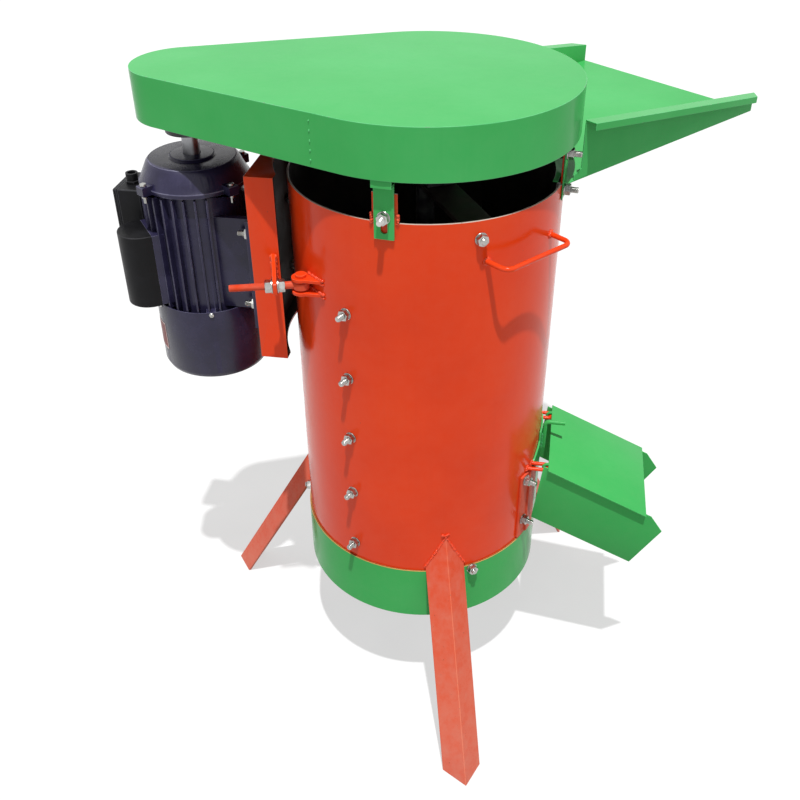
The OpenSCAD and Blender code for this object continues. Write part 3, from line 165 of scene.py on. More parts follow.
def close_material(tree, colour, rough, height, strength, depth, metallic=0.0, specular=0.5):
    """Ends a material with its bump, shader and output."""
    bump = add(tree, "ShaderNodeBump", Strength=strength, Distance=depth, Height=height)
    shader = add(tree, "ShaderNodeBsdfPrincipled", Base_Color=colour, Roughness=rough, Metallic=metallic,
                 Specular_IOR_Level=specular, Normal=bump.outputs["Normal"])
    add(tree, "ShaderNodeOutputMaterial", Surface=shader.outputs["BSDF"])


def enamel(name, shade, full, pale, chip, chip_share, dust=0.03, specular=0.16, splash=0.0):
    """Synthetic enamel sprayed on sheet steel: a gloss with a faint orange peel, slow drifts of tone about
    300 mm wide, upright run marks that also serve as painted dark bands of reflection, a film of dust, dust
    splashed up from the floor and small chips down to the primer."""
    material, tree, place = new_material(name)
    drift = noise(tree, place, 3.2, 3.0)
    tone = ramp(tree, drift, [(0.3, shade), (0.5, full), (0.72, pale)])
    # Run marks about 12 mm wide and 250 mm long, darker upright streaks that also stand in for dark bands of
    # reflection: partly painted reflection
    tall = add(tree, "ShaderNodeMapping", Vector=place, Scale=(80.0, 80.0, 4.0))
    runs_and_reflection_bands = noise(tree, tall.outputs["Vector"], 1.0, 2.0)
    marked = blend(tree, spread(tree, runs_and_reflection_bands, 0.52, 0.8, 0.0, 0.2), tone, linear(shade))
    film = noise(tree, place, 42.0, 6.0, 0.7)
    height = add(tree, "ShaderNodeSeparateXYZ", Vector=place).outputs["Z"]
    settled = add(tree, "ShaderNodeMath", {"operation": "ADD"},
                  i0=spread(tree, height, 0.0, SPLASH_TOP, splash, 0.0),
                  i1=spread(tree, film, 0.35, 0.8, dust * 0.2, dust))
    dusted = blend(tree, settled.outputs["Value"], marked, linear("#cdbfae"))
    # Chips 1 to 4 mm across
    specks = noise(tree, place, 190.0, 4.0, 0.6)
    chips = spread(tree, specks, 1 - chip_share, 1.02 - chip_share, 0.0, 0.85)
    colour = blend(tree, chips, dusted, linear(chip))
    # Orange peel about 3 mm across over the sheet's own waves about 90 mm long
    relief = add(tree, "ShaderNodeMath", {"operation": "MULTIPLY_ADD"}, i0=noise(tree, place, 330.0, 2.0),
                 i1=0.05, i2=noise(tree, place, 11.0, 1.0))
    gloss = spread(tree, film, 0.3, 0.75, 0.09 + dust * 0.5, 0.24 + dust)
    close_material(tree, colour, gloss, relief.outputs["Value"], 0.16, 0.004, specular=specular)
    return material


def metal(name, dark, mid, light, rough_low, rough_high, grain, strength):
    """Bare or plated metal: tone and gloss drift over about 25 mm, with a fine grain."""
    material, tree, place = new_material(name)
    drift = noise(tree, place, 38.0, 5.0, 0.6)
    tone = ramp(tree, drift, [(0.3, dark), (0.5, mid), (0.72, light)])
    gloss = spread(tree, drift, 0.3, 0.7, rough_low, rough_high)
    close_material(tree, tone, gloss, noise(tree, place, grain), strength, 0.0008, metallic=1.0)
    return material


def moulded(name, dark, mid, light, rough_low, rough_high, grain, strength, specular=0.25):
    """Plastic, rubber or paint on a casting: a dull face with a fine grain and slow drifts of tone."""
    material, tree, place = new_material(name)
    drift = noise(tree, place, 24.0, 5.0, 0.6)
    tone = ramp(tree, drift, [(0.3, dark), (0.5, mid), (0.74, light)])
    gloss = spread(tree, drift, 0.3, 0.7, rough_low, rough_high)
    close_material(tree, tone, gloss, noise(tree, place, grain), strength, 0.001, specular=specular)
    return material


orange_enamel = enamel("orange_enamel_on_steel", "#df3a0a", "#ea400c", "#ee4812", "#6d4a3c", 0.26)
# Legs, guides and the tension rod: the same enamel, paler and duller under settled dust
dusty_enamel = enamel("orange_enamel_under_dust", "#d23a10", "#dc4012", "#e24818", "#6d4a3c", 0.29, 0.2,
                      0.03, 0.15)
dusty_edge = enamel("orange_enamel_worn_edge_under_dust", "#d4481f", "#df5630", "#e66a45", "#8b6a5c", 0.33,
                    0.2, 0.03, 0.15)
orange_edge = enamel("orange_enamel_worn_edge", "#e0471f", "#ec5c34", "#f08058", "#8b7a70", 0.4)
green_enamel = enamel("green_enamel_on_steel", "#3cac57", "#42b25c", "#4ab864", "#5f7a62", 0.25,
                      specular=0.06)
green_edge = enamel("green_enamel_worn_edge", "#46b362", "#5cc079", "#84d69b", "#8f998c", 0.38,
                    specular=0.06)
# Cut edges of sheet where the paint is thin: a pale line round the drum's rim
cut_edge = enamel("thin_paint_on_cut_edge", "#a8917f", "#c4b0a0", "#dccdc0", "#7d736b", 0.34)
# Primer rubbed through along the ring's upper edge: an ochre line between the two colours
primer_edge = enamel("primer_through_green_edge", "#b97f42", "#cf9a58", "#e4bd86", "#7d6a50", 0.3)
# Weld metal under the paint: duller, with dark pits
orange_weld = enamel("orange_enamel_on_weld", "#c93a1e", "#e24c2c", "#ee6a48", "#5d4a42", 0.36)
green_weld = enamel("green_enamel_on_weld", "#3f9f5e", "#4fb26f", "#6cc588", "#6d7668", 0.36)
# Motor castings in satin stoving paint: sand-cast grain about 1.5 mm under the paint
motor_paint = moulded("blue_black_paint_on_casting", "#232038", "#2b2842", "#35324e", 0.18, 0.32, 650.0, 0.2,
                      0.32)
# The same paint rubbed thin along the casting's edges, and paler there for the light that the edges catch:
# pale grey-blue lines round fins and lugs, partly wear and partly painted highlight
motor_edge_wear_and_highlight = moulded("blue_black_paint_rubbed_edge_and_highlight", "#45435a", "#605e75", "#8b8a9c", 0.45, 0.6, 650.0, 0.2,
                     0.15)
# Glass-filled nylon, moulded: dull black with a spark-eroded grain about 1 mm across
black_plastic = moulded("moulded_black_nylon", "#0a0a0c", "#0f0f11", "#18181b", 0.36, 0.52, 900.0, 0.22,
                        0.16)
plastic_edge = moulded("moulded_black_nylon_rubbed_edge", "#1c1c1f", "#2a2a2d", "#3c3c40", 0.34, 0.48, 900.0,
                       0.15)
# Zinc-plated steel: mid grey with a cloud in the plating, bright only where it mirrors the sky
zinc_plate = metal("zinc_plated_steel", "#8b8b88", "#adada9", "#ccccc7", 0.2, 0.36, 900.0, 0.1)
# Turned shaft steel: bright, with fine lathe grain
bright_steel = metal("turned_shaft_steel", "#7d7e82", "#97989b", "#b4b5b7", 0.26, 0.4, 1200.0, 0.08)
# Hot-rolled plate with scale and hull stains: dark brown-grey
mill_steel = metal("stained_mill_steel", "#221b16", "#332b25", "#4a433e", 0.45, 0.65, 500.0, 0.3)
# Painted shade: a near-black, dull sheet put on inner faces that lie in shade
painted_inner_shade = moulded("painted_shade_near_black_sheet", "#12100d", "#1d1813", "#2e251d", 0.5, 0.72, 420.0, 0.3)
# Grey cast iron, machined on the rim and oiled: dark grey, grainy
grey_iron = metal("oiled_grey_iron", "#2e2d2d", "#414142", "#585858", 0.36, 0.52, 700.0, 0.25)
# Wrapped V-belt: rubberised cotton cover, drawn as a grain about 1 mm across
belt_rubber = moulded("rubberised_cotton_belt", "#121212", "#1c1b1a", "#292725", 0.6, 0.78, 1000.0, 0.4)
# Drawn aluminium can of the capacitor
can_metal = metal("drawn_aluminium_can", "#b5b7ba", "#c8cacc", "#dadbdc", 0.28, 0.4, 800.0, 0.06)
# Blank rating plate: faded red lacquer on thin aluminium, with a bare border
plate_red = moulded("faded_red_lacquer", "#7a2f2c", "#8c3a36", "#9b4a44", 0.35, 0.5, 800.0, 0.1)
plate_border = metal("bare_aluminium_border", "#b59f9a", "#c9b5b0", "#dacac6", 0.3, 0.42, 800.0, 0.06)

finishes = {"orange_paint": orange_enamel, "green_paint": green_enamel, "motor_paint": motor_paint,
            "black_plastic": black_plastic, "zinc_steel": zinc_plate, "bright_steel": bright_steel,
            "mill_steel": mill_steel, "grey_iron": grey_iron, "belt_rubber": belt_rubber,
            "capacitor_can": can_metal}
# Edge finishes of worn paint; the motor's is partly painted highlight
worn_and_highlit_edges = {"orange_paint": orange_edge, "green_paint": green_edge, "motor_paint": motor_edge_wear_and_highlight,
              "black_plastic": plastic_edge}
slot_of = {part["node"]: part["material_slot"] for part in frame["record"]["subparts"]}
body_of = {node: body for body, nodes in frame["record"]["behaviour"]["bodies"].items() for node in nodes}

for name, node in frame["nodes"].items():
    for place in range(len(node.material_slots)):
        node.material_slots[place].material = finishes[slot_of[name]]


# Shared steps for pieces

def new_piece(name, mesh, materials):
    """An object in the scene with its mesh and materials."""
    piece = bpy.data.objects.new(name, mesh)
    bpy.context.scene.collection.objects.link(piece)
    for material in materials:
        mesh.materials.append(material)
    return piece


def keep(piece, body, slot, *nodes):
    """Joins a finished piece to a body, in place of the CAD nodes named. The slot is not used."""
    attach(piece, body)
    if nodes:
        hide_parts(*nodes)


def finished_mesh(shape, name, sharp):
    """Turns a built shape into a smooth-shaded mesh that stays sharp at edges over an angle in degrees."""
    bmesh.ops.recalc_face_normals(shape, faces=shape.faces)
    for face in shape.faces:
        face.smooth = True
    mesh = bpy.data.meshes.new(name)
    shape.to_mesh(mesh)
    shape.free()
    mesh.set_sharp_from_angle(angle=math.radians(sharp))
    return mesh


# Sheets and castings with eased edges

SHARP = 22  # degrees between faces from which an edge shows as a line
RIDGE = 28  # degrees from which an outer edge is eased
FLAT = 0.6  # degrees up to which faces count as one
SAME = 0.02 * MM  # distance up to which corners count as one


def settle_shading(mesh, wall):
    """Shades a corner by its own face where slivers beside it pull it far aside, and straight out from the
    drum's axis on a wall of a radius round it."""
    normals = [corner.vector.copy() for corner in mesh.corner_normals]
    for face in mesh.polygons:
        for corner in face.loop_indices:
            way = mesh.vertices[mesh.loops[corner].vertex_index].co - spot(0, 0, 0)
            way.z = 0
            if abs(way.length - wall * MM) < 0.2 * MM and face.normal.dot(way.normalized()) > 0.99:
                normals[corner] = way.normalized()
            elif face.normal.dot(normals[corner]) < math.cos(math.radians(SHARP + 1)):
                normals[corner] = face.normal.copy()
    mesh.normals_split_custom_set(normals)


def softened(node, width, shortest=1.5, extra=(), pick=None, slot=None, main=None, edge=None,
             chosen=None, wall=0):
    """A copy of a CAD node whose outer edges are eased by a width in millimetres, as rolled, pressed or cast
    edges are. Edges under the shortest length stay sharp, because they would narrow all the others, and so do
    those that aren't chosen. Faces are 0 with the main finish, the eased strips 1 with the edge's, and pick
    moves a face to another number, where 2 is the first extra finish. A wall's radius shades a wall round
    the drum's axis as round."""
    slot = slot or slot_of[node]
    shape = bmesh.new()
    shape.from_mesh(frame["nodes"][node].data)
    bmesh.ops.remove_doubles(shape, verts=shape.verts, dist=SAME)
    bmesh.ops.dissolve_limit(shape, angle_limit=math.radians(FLAT), verts=shape.verts, edges=shape.edges)
    ridges = [side for side in shape.edges if len(side.link_faces) == 2
              and side.calc_face_angle_signed(0) > math.radians(RIDGE) and side.calc_length() > shortest * MM
              and (chosen is None or chosen(side))]
    for face in shape.faces:
        face.material_index = 0
    bmesh.ops.bevel(shape, geom=ridges, offset=width * MM, offset_type="OFFSET", segments=2, profile=0.5,
                    affect="EDGES", material=1, clamp_overlap=True)
    shape.normal_update()
    for face in shape.faces:
        if pick:
            face.material_index = pick(face.calc_center_median(), face.normal, face.material_index)
        face.smooth = True
    mesh = bpy.data.meshes.new(node + "_eased")
    shape.to_mesh(mesh)
    shape.free()
    mesh.set_sharp_from_angle(angle=math.radians(SHARP))
    settle_shading(mesh, wall)
    finish = main or finishes[slot]
    materials = [finish, edge or worn_and_highlit_edges.get(slot, finish), *extra]
    keep(new_piece(node + "_eased", mesh, materials), body_of[node], slot, node)


def inside_drum(centre, normal, number):
    """Painted shade: near-black inside the drum, with a pale cut edge at the rim."""
    if centre.z > (RIM_Z - 1) * MM and normal.z > 0.3:
        return 3
    way = Vector((centre.x - AXIS_X, centre.y - AXIS_Y, 0))
    stained = way.length < (DRUM_R - 1.6) * MM and (normal.dot(way) < 0 or abs(normal.z) > 0.5)
    return 2 if stained else number


guard_low, guard_high = (Vector(corner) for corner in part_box("belt_guard"))


def inside_guard(centre, normal, number):
    """Painted shade: near-black inside the guard's wall and under its top sheet."""
    along = min(max(AXIS_X - centre.x, 0), GUARD_SPAN * MM)
    way = Vector((centre.x - AXIS_X + along, centre.y - AXIS_Y, 0))
    inward = normal.dot(way) < -0.2 * way.length
    under_top = normal.z < -0.9 and centre.z > (guard_low.z + guard_high.z) / 2
    below_sheet = centre.z < guard_high.z - 1.5 * MM
    return 2 if (inward or under_top) and below_sheet else number


def inside_plate(centre, normal, number):
    """Painted shade: near-black on the hollow side of the motor plate, towards the drum."""
    place = (centre - spot(0, 0, 0)) / MM
    hollow = place.x > PLATE_FACE_X and abs(place.y) < PLATE_HALF_Y and PLATE_LOW_Z < place.z < PLATE_HIGH_Z
    return 2 if hollow else number


def top_edge(centre, normal, number):
    """The ring's upper edge: near-black painted shade on the flat beside the drum, for the gap in shadow, and
    rubbed paint on the corner.
    """
    if centre.z > (RING_TOP_Z - 1) * MM and normal.z > 0.2:
        return 2 if number == 1 else 3
    return number


def round_motor(side):
    """True for an edge turned round the motor's axis."""
    first, second = (vert.co - spot(MOTOR_X, 0, 0) for vert in side.verts)
    return abs(first.z - second.z) < 0.01 * MM and abs(first.xy.length - second.xy.length) < 0.2 * MM


# Painted shade in near-black on the inner faces of the drum, the guard and the motor plate, and on the ring's
# top beside the drum
softened("drum_shell", 0.8, extra=(painted_inner_shade, cut_edge), pick=inside_drum, wall=DRUM_R)
softened("belt_guard", 0.8, extra=(painted_inner_shade,), pick=inside_guard)
softened("motor_plate", 1.2, extra=(painted_inner_shade,), pick=inside_plate)
softened("bottom_ring", 1.0, extra=(primer_edge, painted_inner_shade), pick=top_edge)
for node in ("leg_front", "leg_left", "leg_rear"):
    softened(node, 1.2, 5, main=dusty_enamel, edge=dusty_edge)
for node in ("gate_guide_near", "gate_guide_far"):
    softened(node, 0.5, 8, main=dusty_enamel, edge=dusty_edge)
softened("motor_bell", 1.0, chosen=round_motor)
# Width and shortest edge of the other sheets and castings
for node, width, shortest in (
        ("guard_strap_front", 0.5, 0), ("guard_strap_rear", 0.5, 0), ("gate", 0.5, 0), ("clevis", 0.5, 0),
        ("feed_chute", 0.5, 1.5), ("discharge_hood", 0.6, 3), ("upper_bridge", 0.5, 1.5),
        ("lower_bridge", 0.5, 1.5), ("motor_frame", 1.0, 8), ("fan_cover", 0.9, 1.5),
        ("terminal_box", 2.0, 1.5), ("terminal_lid", 2.5, 1.5), ("capacitor_cover", 2.5, 1.5),
        ("cable_gland", 0.8, 0), ("bell_bolts", 0.6, 0), ("upper_bearing", 1.0, 3),
        ("lower_bearing", 1.5, 1.5), ("driven_pulley", 0.8, 1.5), ("motor_pulley", 0.8, 0),
        ("hinge_pins", 0.8, 0)):
    softened(node, width, shortest)
# The clevis pin was painted over with the clevis
softened("clevis_pin", 0.8, 0, slot="orange_paint")


# The belt: a copy of the CAD belt's mesh in the rubber finish, in its place
belt = new_piece("belt_in_grooves", frame["nodes"]["v_belt"].data.copy(), [])
belt.data.materials[0] = belt_rubber
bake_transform(belt)
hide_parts("v_belt")


# Turned and threaded shapes, built along +Z in millimetres

def stitch(shape, rings):
    """Skins neighbouring rings of the same number of points."""
    for first, second in zip(rings, rings[1:]):
        for k in range(len(first)):
            after = (k + 1) % len(first)
            shape.faces.new((first[k], first[after], second[after], second[k]))


def circle(shape, radius, z, steps):
    """A ring of points at a radius and a height."""
    return [shape.verts.new((radius * MM * math.cos(math.tau * k / steps),
                             radius * MM * math.sin(math.tau * k / steps), z * MM)) for k in range(steps)]


def turned(shape, profile, steps=28):
    """A solid of revolution from (radius, height) pairs; a profile that ends where it starts makes a ring."""
    looped = profile[0] == profile[-1]
    rings = [circle(shape, radius, z, steps) for radius, z in (profile[:-1] if looped else profile)]
    stitch(shape, rings + rings[:1] if looped else rings)
    if not looped:
        shape.faces.new(rings[0])
        shape.faces.new(rings[-1])


def hexagon(shape, corner, z0, z1, bore):
    """A nut or bolt head: a hexagon whose corners are turned off at 30 degrees, round a bore."""
    steps = 36
    flat = corner * math.cos(math.radians(30))
    low, high = [], []
    for k in range(steps):
        reach = flat / math.cos(math.radians(k * 10 % 60 - 30))
        drop = (reach - flat * 0.97) * math.tan(math.radians(30))
        way = outward(k * 10) * reach * MM
        low.append(shape.verts.new(way + Vector((0, 0, (z0 + drop) * MM))))
        high.append(shape.verts.new(way + Vector((0, 0, (z1 - drop) * MM))))
    rings = [circle(shape, bore, z0, steps), circle(shape, flat * 0.97, z0, steps), low, high,
             circle(shape, flat * 0.97, z1, steps), circle(shape, bore, z1, steps)]
    stitch(shape, rings + rings[:1])


def thread(shape, radius, pitch, z0, z1):
    """A rod with a screw thread of a pitch, tapered at its far end."""
    steps = 20
    rows = max(int((z1 - z0) / pitch * 4), 4)
    rings = []
    for row in range(rows + 1):
        z = z0 + (z1 - z0) * row / rows
        taper = min(1.0, 0.82 + 0.18 * (z1 - z) / pitch)
        ring = []
        for k in range(steps):
            wave = abs(((z / pitch - k / steps) % 1) * 2 - 1)
            reach = min(radius - 0.55 * pitch * (1 - wave), radius * taper)
            turn = math.tau * k / steps
            ring.append(shape.verts.new((reach * MM * math.cos(turn), reach * MM * math.sin(turn), z * MM)))
        rings.append(ring)
    stitch(shape, rings)
    shape.faces.new(rings[0])
    shape.faces.new(rings[-1])


def washer(shape, bore, radius, z0, z1, ease, steps):
    """A flat ring whose outer corners are eased over a height."""
    inner = radius - 0.3
    turned(shape, [(bore, z0), (inner, z0), (radius, z0 + ease), (radius, z1 - ease), (inner, z1), (bore, z1),
                   (bore, z0)], steps)


# M10 bolts: radius and pitch of the thread, corners of the hexagon, and heights of the pieces
M10_R, M10_PITCH, M10_CORNER = 5, 1.5, 9.25
M10_WASHER, M10_NUT, M10_HEAD, M10_STUB = 2, 8, 6.5, 6


def nut_end(tip):
    """Washer, nut and thread end of an M10 bolt, with a stub of its shank."""
    shape = bmesh.new()
    nut_top = M10_WASHER + M10_NUT
    washer(shape, M10_R + 0.1, 2 * M10_R, 0, M10_WASHER, 0.4, 28)
    hexagon(shape, M10_CORNER, M10_WASHER, nut_top, M10_R - 0.4)
    turned(shape, [(M10_R, -M10_STUB), (M10_R, M10_WASHER)])
    thread(shape, M10_R, M10_PITCH, M10_WASHER, nut_top + tip)
    return finished_mesh(shape, "nut_end", 32)


def bolt_head():
    """Head of an M10 bolt with a stub of its shank."""
    shape = bmesh.new()
    hexagon(shape, M10_CORNER, 0, M10_HEAD, 0.2)
    turned(shape, [(M10_R, -M10_STUB), (M10_R, 1)])
    return finished_mesh(shape, "bolt_head", 32)


def pan_screw(radius, height):
    """Domed screw head with a sunk middle."""
    shape = bmesh.new()
    turned(shape, [(radius * 0.5, -2), (radius * 0.98, 0), (radius, height * 0.35),
                   (radius * 0.8, height * 0.8), (radius * 0.45, height), (radius * 0.4, height * 0.6)], 20)
    return finished_mesh(shape, "pan_screw", 35)


# Repeated pieces by Geometry Nodes

def node_tree(name, sockets, build):
    """A node tree with named inputs that makes instances, realizes them and gives them a finish."""
    tree = bpy.data.node_groups.new(name, "GeometryNodeTree")
    tree.interface.new_socket("Geometry", in_out="OUTPUT", socket_type="NodeSocketGeometry")
    for label, kind in [("Geometry", "Geometry"), *sockets, ("Finish", "Material")]:
        tree.interface.new_socket(label, in_out="INPUT", socket_type="NodeSocket" + kind)
    start = add(tree, "NodeGroupInput").outputs
    real = add(tree, "GeometryNodeRealizeInstances", Geometry=build(tree, start))
    done = add(tree, "GeometryNodeSetMaterial", Geometry=real.outputs[0], Material=start["Finish"])
    add(tree, "NodeGroupOutput", Geometry=done.outputs[0])
    return tree


SIXTH_TURN = 1.047  # after which a hexagon looks the same
FASTENER_SEED = 3
WELD_SEED = 11


def fastener_nodes(tree, start):
    """Stands a fastener on each point along its axis, with a chance twist."""
    axis = add(tree, "GeometryNodeInputNamedAttribute", {"data_type": "FLOAT_VECTOR"}, Name="axis")
    stand = add(tree, "FunctionNodeAlignRotationToVector", {"axis": "Z"}, Vector=axis.outputs[0])
    chance = add(tree, "FunctionNodeRandomValue", {"data_type": "FLOAT"}, i2=0.0, i3=SIXTH_TURN,
                 i8=start["Seed"])
    twist = add(tree, "FunctionNodeAxisAngleToRotation", Axis=(0.0, 0.0, 1.0), Angle=chance.outputs[1])
    turn = add(tree, "FunctionNodeRotateRotation", {"rotation_space": "LOCAL"}, Rotation=stand.outputs[0],
               Rotate_By=twist.outputs[0])
    model = add(tree, "GeometryNodeObjectInfo", Object=start["Fastener"])
    return add(tree, "GeometryNodeInstanceOnPoints", Points=start["Geometry"],
               Instance=model.outputs["Geometry"], Rotation=turn.outputs[0]).outputs[0]


def weld_nodes(tree, start):
    """Lays overlapping beads of chance size along each line."""
    line = add(tree, "GeometryNodeMeshToCurve", Mesh=start["Geometry"])
    even = add(tree, "GeometryNodeResampleCurve", {"mode": "LENGTH"}, Curve=line.outputs[0],
               Length=start["Bead step"])
    bead = add(tree, "GeometryNodeMeshIcoSphere", Radius=start["Bead radius"], Subdivisions=2)
    size = add(tree, "FunctionNodeRandomValue", {"data_type": "FLOAT_VECTOR"}, i0=(0.55, 0.55, 0.55),
               i1=(1.4, 1.4, 1.4), i8=start["Seed"])
    turn = add(tree, "FunctionNodeRandomValue", {"data_type": "FLOAT_VECTOR"}, i0=(0.0, 0.0, 0.0),
               i1=(6.0, 6.0, 6.0), i8=start["Seed"])
    return add(tree, "GeometryNodeInstanceOnPoints", Points=even.outputs[0], Instance=bead.outputs[0],
               Rotation=turn.outputs[0], Scale=size.outputs[0]).outputs[0]


fastener_tree = node_tree("fasteners_on_points", [("Fastener", "Object"), ("Seed", "Int")], fastener_nodes)
weld_tree = node_tree("weld_beads_on_lines",
                      [("Bead step", "Float"), ("Bead radius", "Float"), ("Seed", "Int")], weld_nodes)


def grown(tree, points, edges, axes, values):
    """The mesh that a node tree grows from points, lines between them and an axis at each point."""
    seed_mesh = bpy.data.meshes.new("seed_points")
    seed_mesh.from_pydata(points, edges, [])
    if axes:
        axis = seed_mesh.attributes.new("axis", "FLOAT_VECTOR", "POINT")
        axis.data.foreach_set("vector", [part for way in axes for part in way])
    host = bpy.data.objects.new("seed_points", seed_mesh)
    bpy.context.scene.collection.objects.link(host)
    modifier = host.modifiers.new("grow", "NODES")
    modifier.node_group = tree
    for item in tree.interface.items_tree:
        if item.in_out == "INPUT" and item.name in values:
            modifier[item.identifier] = values[item.name]
    graph = bpy.context.evaluated_depsgraph_get()
    mesh = bpy.data.meshes.new_from_object(host.evaluated_get(graph), depsgraph=graph)
    host.modifiers.clear()
    bpy.data.objects.remove(host)
    return mesh


def joined(name, meshes, sharp):
    """One smooth-shaded mesh from several that stays sharp at edges over an angle in degrees."""
    shape = bmesh.new()
    for mesh in meshes:
        shape.from_mesh(mesh)
    for face in shape.faces:
        face.smooth = True
        face.material_index = 0
    whole = bpy.data.meshes.new(name)
    shape.to_mesh(whole)
    shape.free()
    whole.set_sharp_from_angle(angle=math.radians(sharp))
    return whole


def fasteners(name, body, slot, nodes, groups, finish):
    """One piece of all the fasteners on a body, from (template mesh, [(point, axis)]) groups."""
    meshes = []
    for number, (model_mesh, places) in enumerate(groups):
        model = new_piece("fastener_model", model_mesh, [finish])
        meshes.append(grown(fastener_tree, [p for p, way in places], [], [way for p, way in places],
                            {"Fastener": model, "Seed": FASTENER_SEED + number, "Finish": finish}))
        bpy.data.objects.remove(model)
    keep(new_piece(name, joined(name, meshes, 32), [finish]), body, slot, *nodes)


def welds(name, body, slot, finish, lines, step, radius):
    """One piece of all the weld beads on a body, along lines of points in metres."""
    points, edges = [], []
    for line in lines:
        edges += [(len(points) + k, len(points) + k + 1) for k in range(len(line) - 1)]
        points += line
    mesh = grown(weld_tree, points, edges, [], {"Bead step": step * MM, "Bead radius": radius * MM,
                                                "Seed": WELD_SEED, "Finish": finish})
    keep(new_piece(name, joined(name, [mesh], 60), [finish]), body, slot)


# Bolts through the drum's wall: directions, heights, and the radii of their inner and outer seats
LONG_TIP, SHORT_TIP = 12, 4  # thread that stands out of the nut
WALL_SEAT = 216.7  # on the drum's inner face
long_bolts = {"scraper_bolts": ((-115, 65), (365, 484, 603, 722, 841), 204.18, 220.05),
              "guard_bolts": (LUG_DIRECTIONS, (1015,), WALL_SEAT, 224.3),
              "feed_bolts": ((-8.12, 103.52), (994, 1051), WALL_SEAT, 222.35),
              "guide_bolts": ((-26.02, 26.02), (372, 465), WALL_SEAT, 224.25)}
short_bolts = {"ring_bolts": ((-58, 62, 182), (322,), WALL_SEAT, 223.6),
               "bridge_bolts": ((BRIDGE_DIRECTION, BRIDGE_DIRECTION + 180), (978,), 207.26, 220.05)}
# Upright bolts of the two bearings: the bridge's direction, lower and upper seat
BEARING_BOLT_R = 54
bearing_seats = ((0, 226, 246), (BRIDGE_DIRECTION, 990, 1010))
long_nuts, short_nuts, heads = [], [], []
for bolts, nuts in ((long_bolts, long_nuts), (short_bolts, short_nuts)):
    for directions, heights, inner, outer in bolts.values():
        for degrees in directions:
            for z in heights:
                nuts.append((round_spot(outer, degrees, z), outward(degrees)))
                heads.append((round_spot(inner, degrees, z), -outward(degrees)))
for degrees, low, high in bearing_seats:
    for radius in (-BEARING_BOLT_R, BEARING_BOLT_R):
        short_nuts.append((round_spot(radius, degrees, high), Vector((0, 0, 1))))
        heads.append((round_spot(radius, degrees, low), Vector((0, 0, -1))))
fasteners("frame_bolts", "frame", "zinc_steel",
          ["ring_bolts", "bridge_bolts", "scraper_bolts", "guard_bolts", "feed_bolts", "guide_bolts",
           "bearing_bolts"],
          [(nut_end(LONG_TIP), long_nuts), (nut_end(SHORT_TIP), short_nuts), (bolt_head(), heads)],
          zinc_plate)

# Bolts of the motor's feet, with nuts on the motor's side of the plate
FOOT_NUT_X, FOOT_HEAD_X = -275, -256  # seats
foot_places = [(y, z) for y in (-75, 75) for z in (773, 903)]
foot_nuts = [(spot(FOOT_NUT_X, y, z), Vector((-1, 0, 0))) for y, z in foot_places]
foot_heads = [(spot(FOOT_HEAD_X, y, z), Vector((1, 0, 0))) for y, z in foot_places]
fasteners("motor_foot_bolts", "motor_unit", "zinc_steel", ["foot_bolts"],
          [(nut_end(LONG_TIP), foot_nuts), (bolt_head(), foot_heads)], zinc_plate)

# Screws of the fan cover and of the terminal box's lid
COVER_SCREW_R = FAN_COVER_R + 0.05
COVER_SCREW_Z = 751.5
LID_X, LID_Y, LID_Z = -530, 18, 906  # outer face and middle of the lid
cover_places = [(spot(MOTOR_X + COVER_SCREW_R * outward(a).x, COVER_SCREW_R * outward(a).y, COVER_SCREW_Z),
                 outward(a)) for a in (45, 135, 225, 290)]
lid_places = [(spot(LID_X, LID_Y + y, LID_Z + z), Vector((-1, 0, 0))) for y in (-32, 32) for z in (-28, 28)]
fasteners("motor_screws", "motor_unit", "zinc_steel", ["fan_cover_screws"],
          [(pan_screw(4.5, 3), cover_places), (pan_screw(3.5, 1.4), lid_places)], zinc_plate)


# Tension rod with its eye, and the two nuts that hold the plate's tab

def turn_to(way, place):
    """The matrix that takes +Z to a direction and the origin to a point in metres."""
    return Matrix.Translation(place) @ way.to_track_quat("Z", "Y").to_matrix().to_4x4()


def place_new(shape, older, matrix):
    """Moves the corners that a shape has gained."""
    bmesh.ops.transform(shape, matrix=matrix, verts=[vert for vert in shape.verts if vert not in older])
    return set(shape.verts)


M12_PITCH = 1.75
THREAD_START, THREAD_END = 26, 112
EYE_START = 9.5
BORE_R = ROD_R + 0.05
rod_way = outward(ROD_DIRECTION)
pin_spot = spot(*CLEVIS)
shape = bmesh.new()
turned(shape, [(ROD_R, EYE_START), (ROD_R, THREAD_START)])
thread(shape, ROD_R, M12_PITCH, THREAD_START, THREAD_END)
older = place_new(shape, set(), turn_to(rod_way, pin_spot))
turned(shape, [(BORE_R, -6), (12.2, -6), (13, -5.2), (13, 5.2), (12.2, 6), (BORE_R, 6), (BORE_R, -6)], 40)
place_new(shape, older, Matrix.Translation(pin_spot))
keep(new_piece("tension_rod", finished_mesh(shape, "tension_rod", 30), [dusty_enamel]), "eye_bolt",
     "orange_paint", "eye_bolt")

tab_spot = pin_spot + rod_way * TAB_OUT * MM
shape = bmesh.new()
older = set()
for way in (rod_way, -rod_way):
    # A washer against the tab, with a nut on it
    washer(shape, BORE_R, 2 * ROD_R, 3.8, 5.8, 0.3, 36)
    hexagon(shape, 10.4, 5.8, 15.8, BORE_R)
    older = place_new(shape, older, turn_to(way, tab_spot))
keep(new_piece("rod_nuts", finished_mesh(shape, "rod_nuts", 32), [zinc_plate]), "adjuster_nuts", "zinc_steel",
     "adjuster_nuts")


# Welds

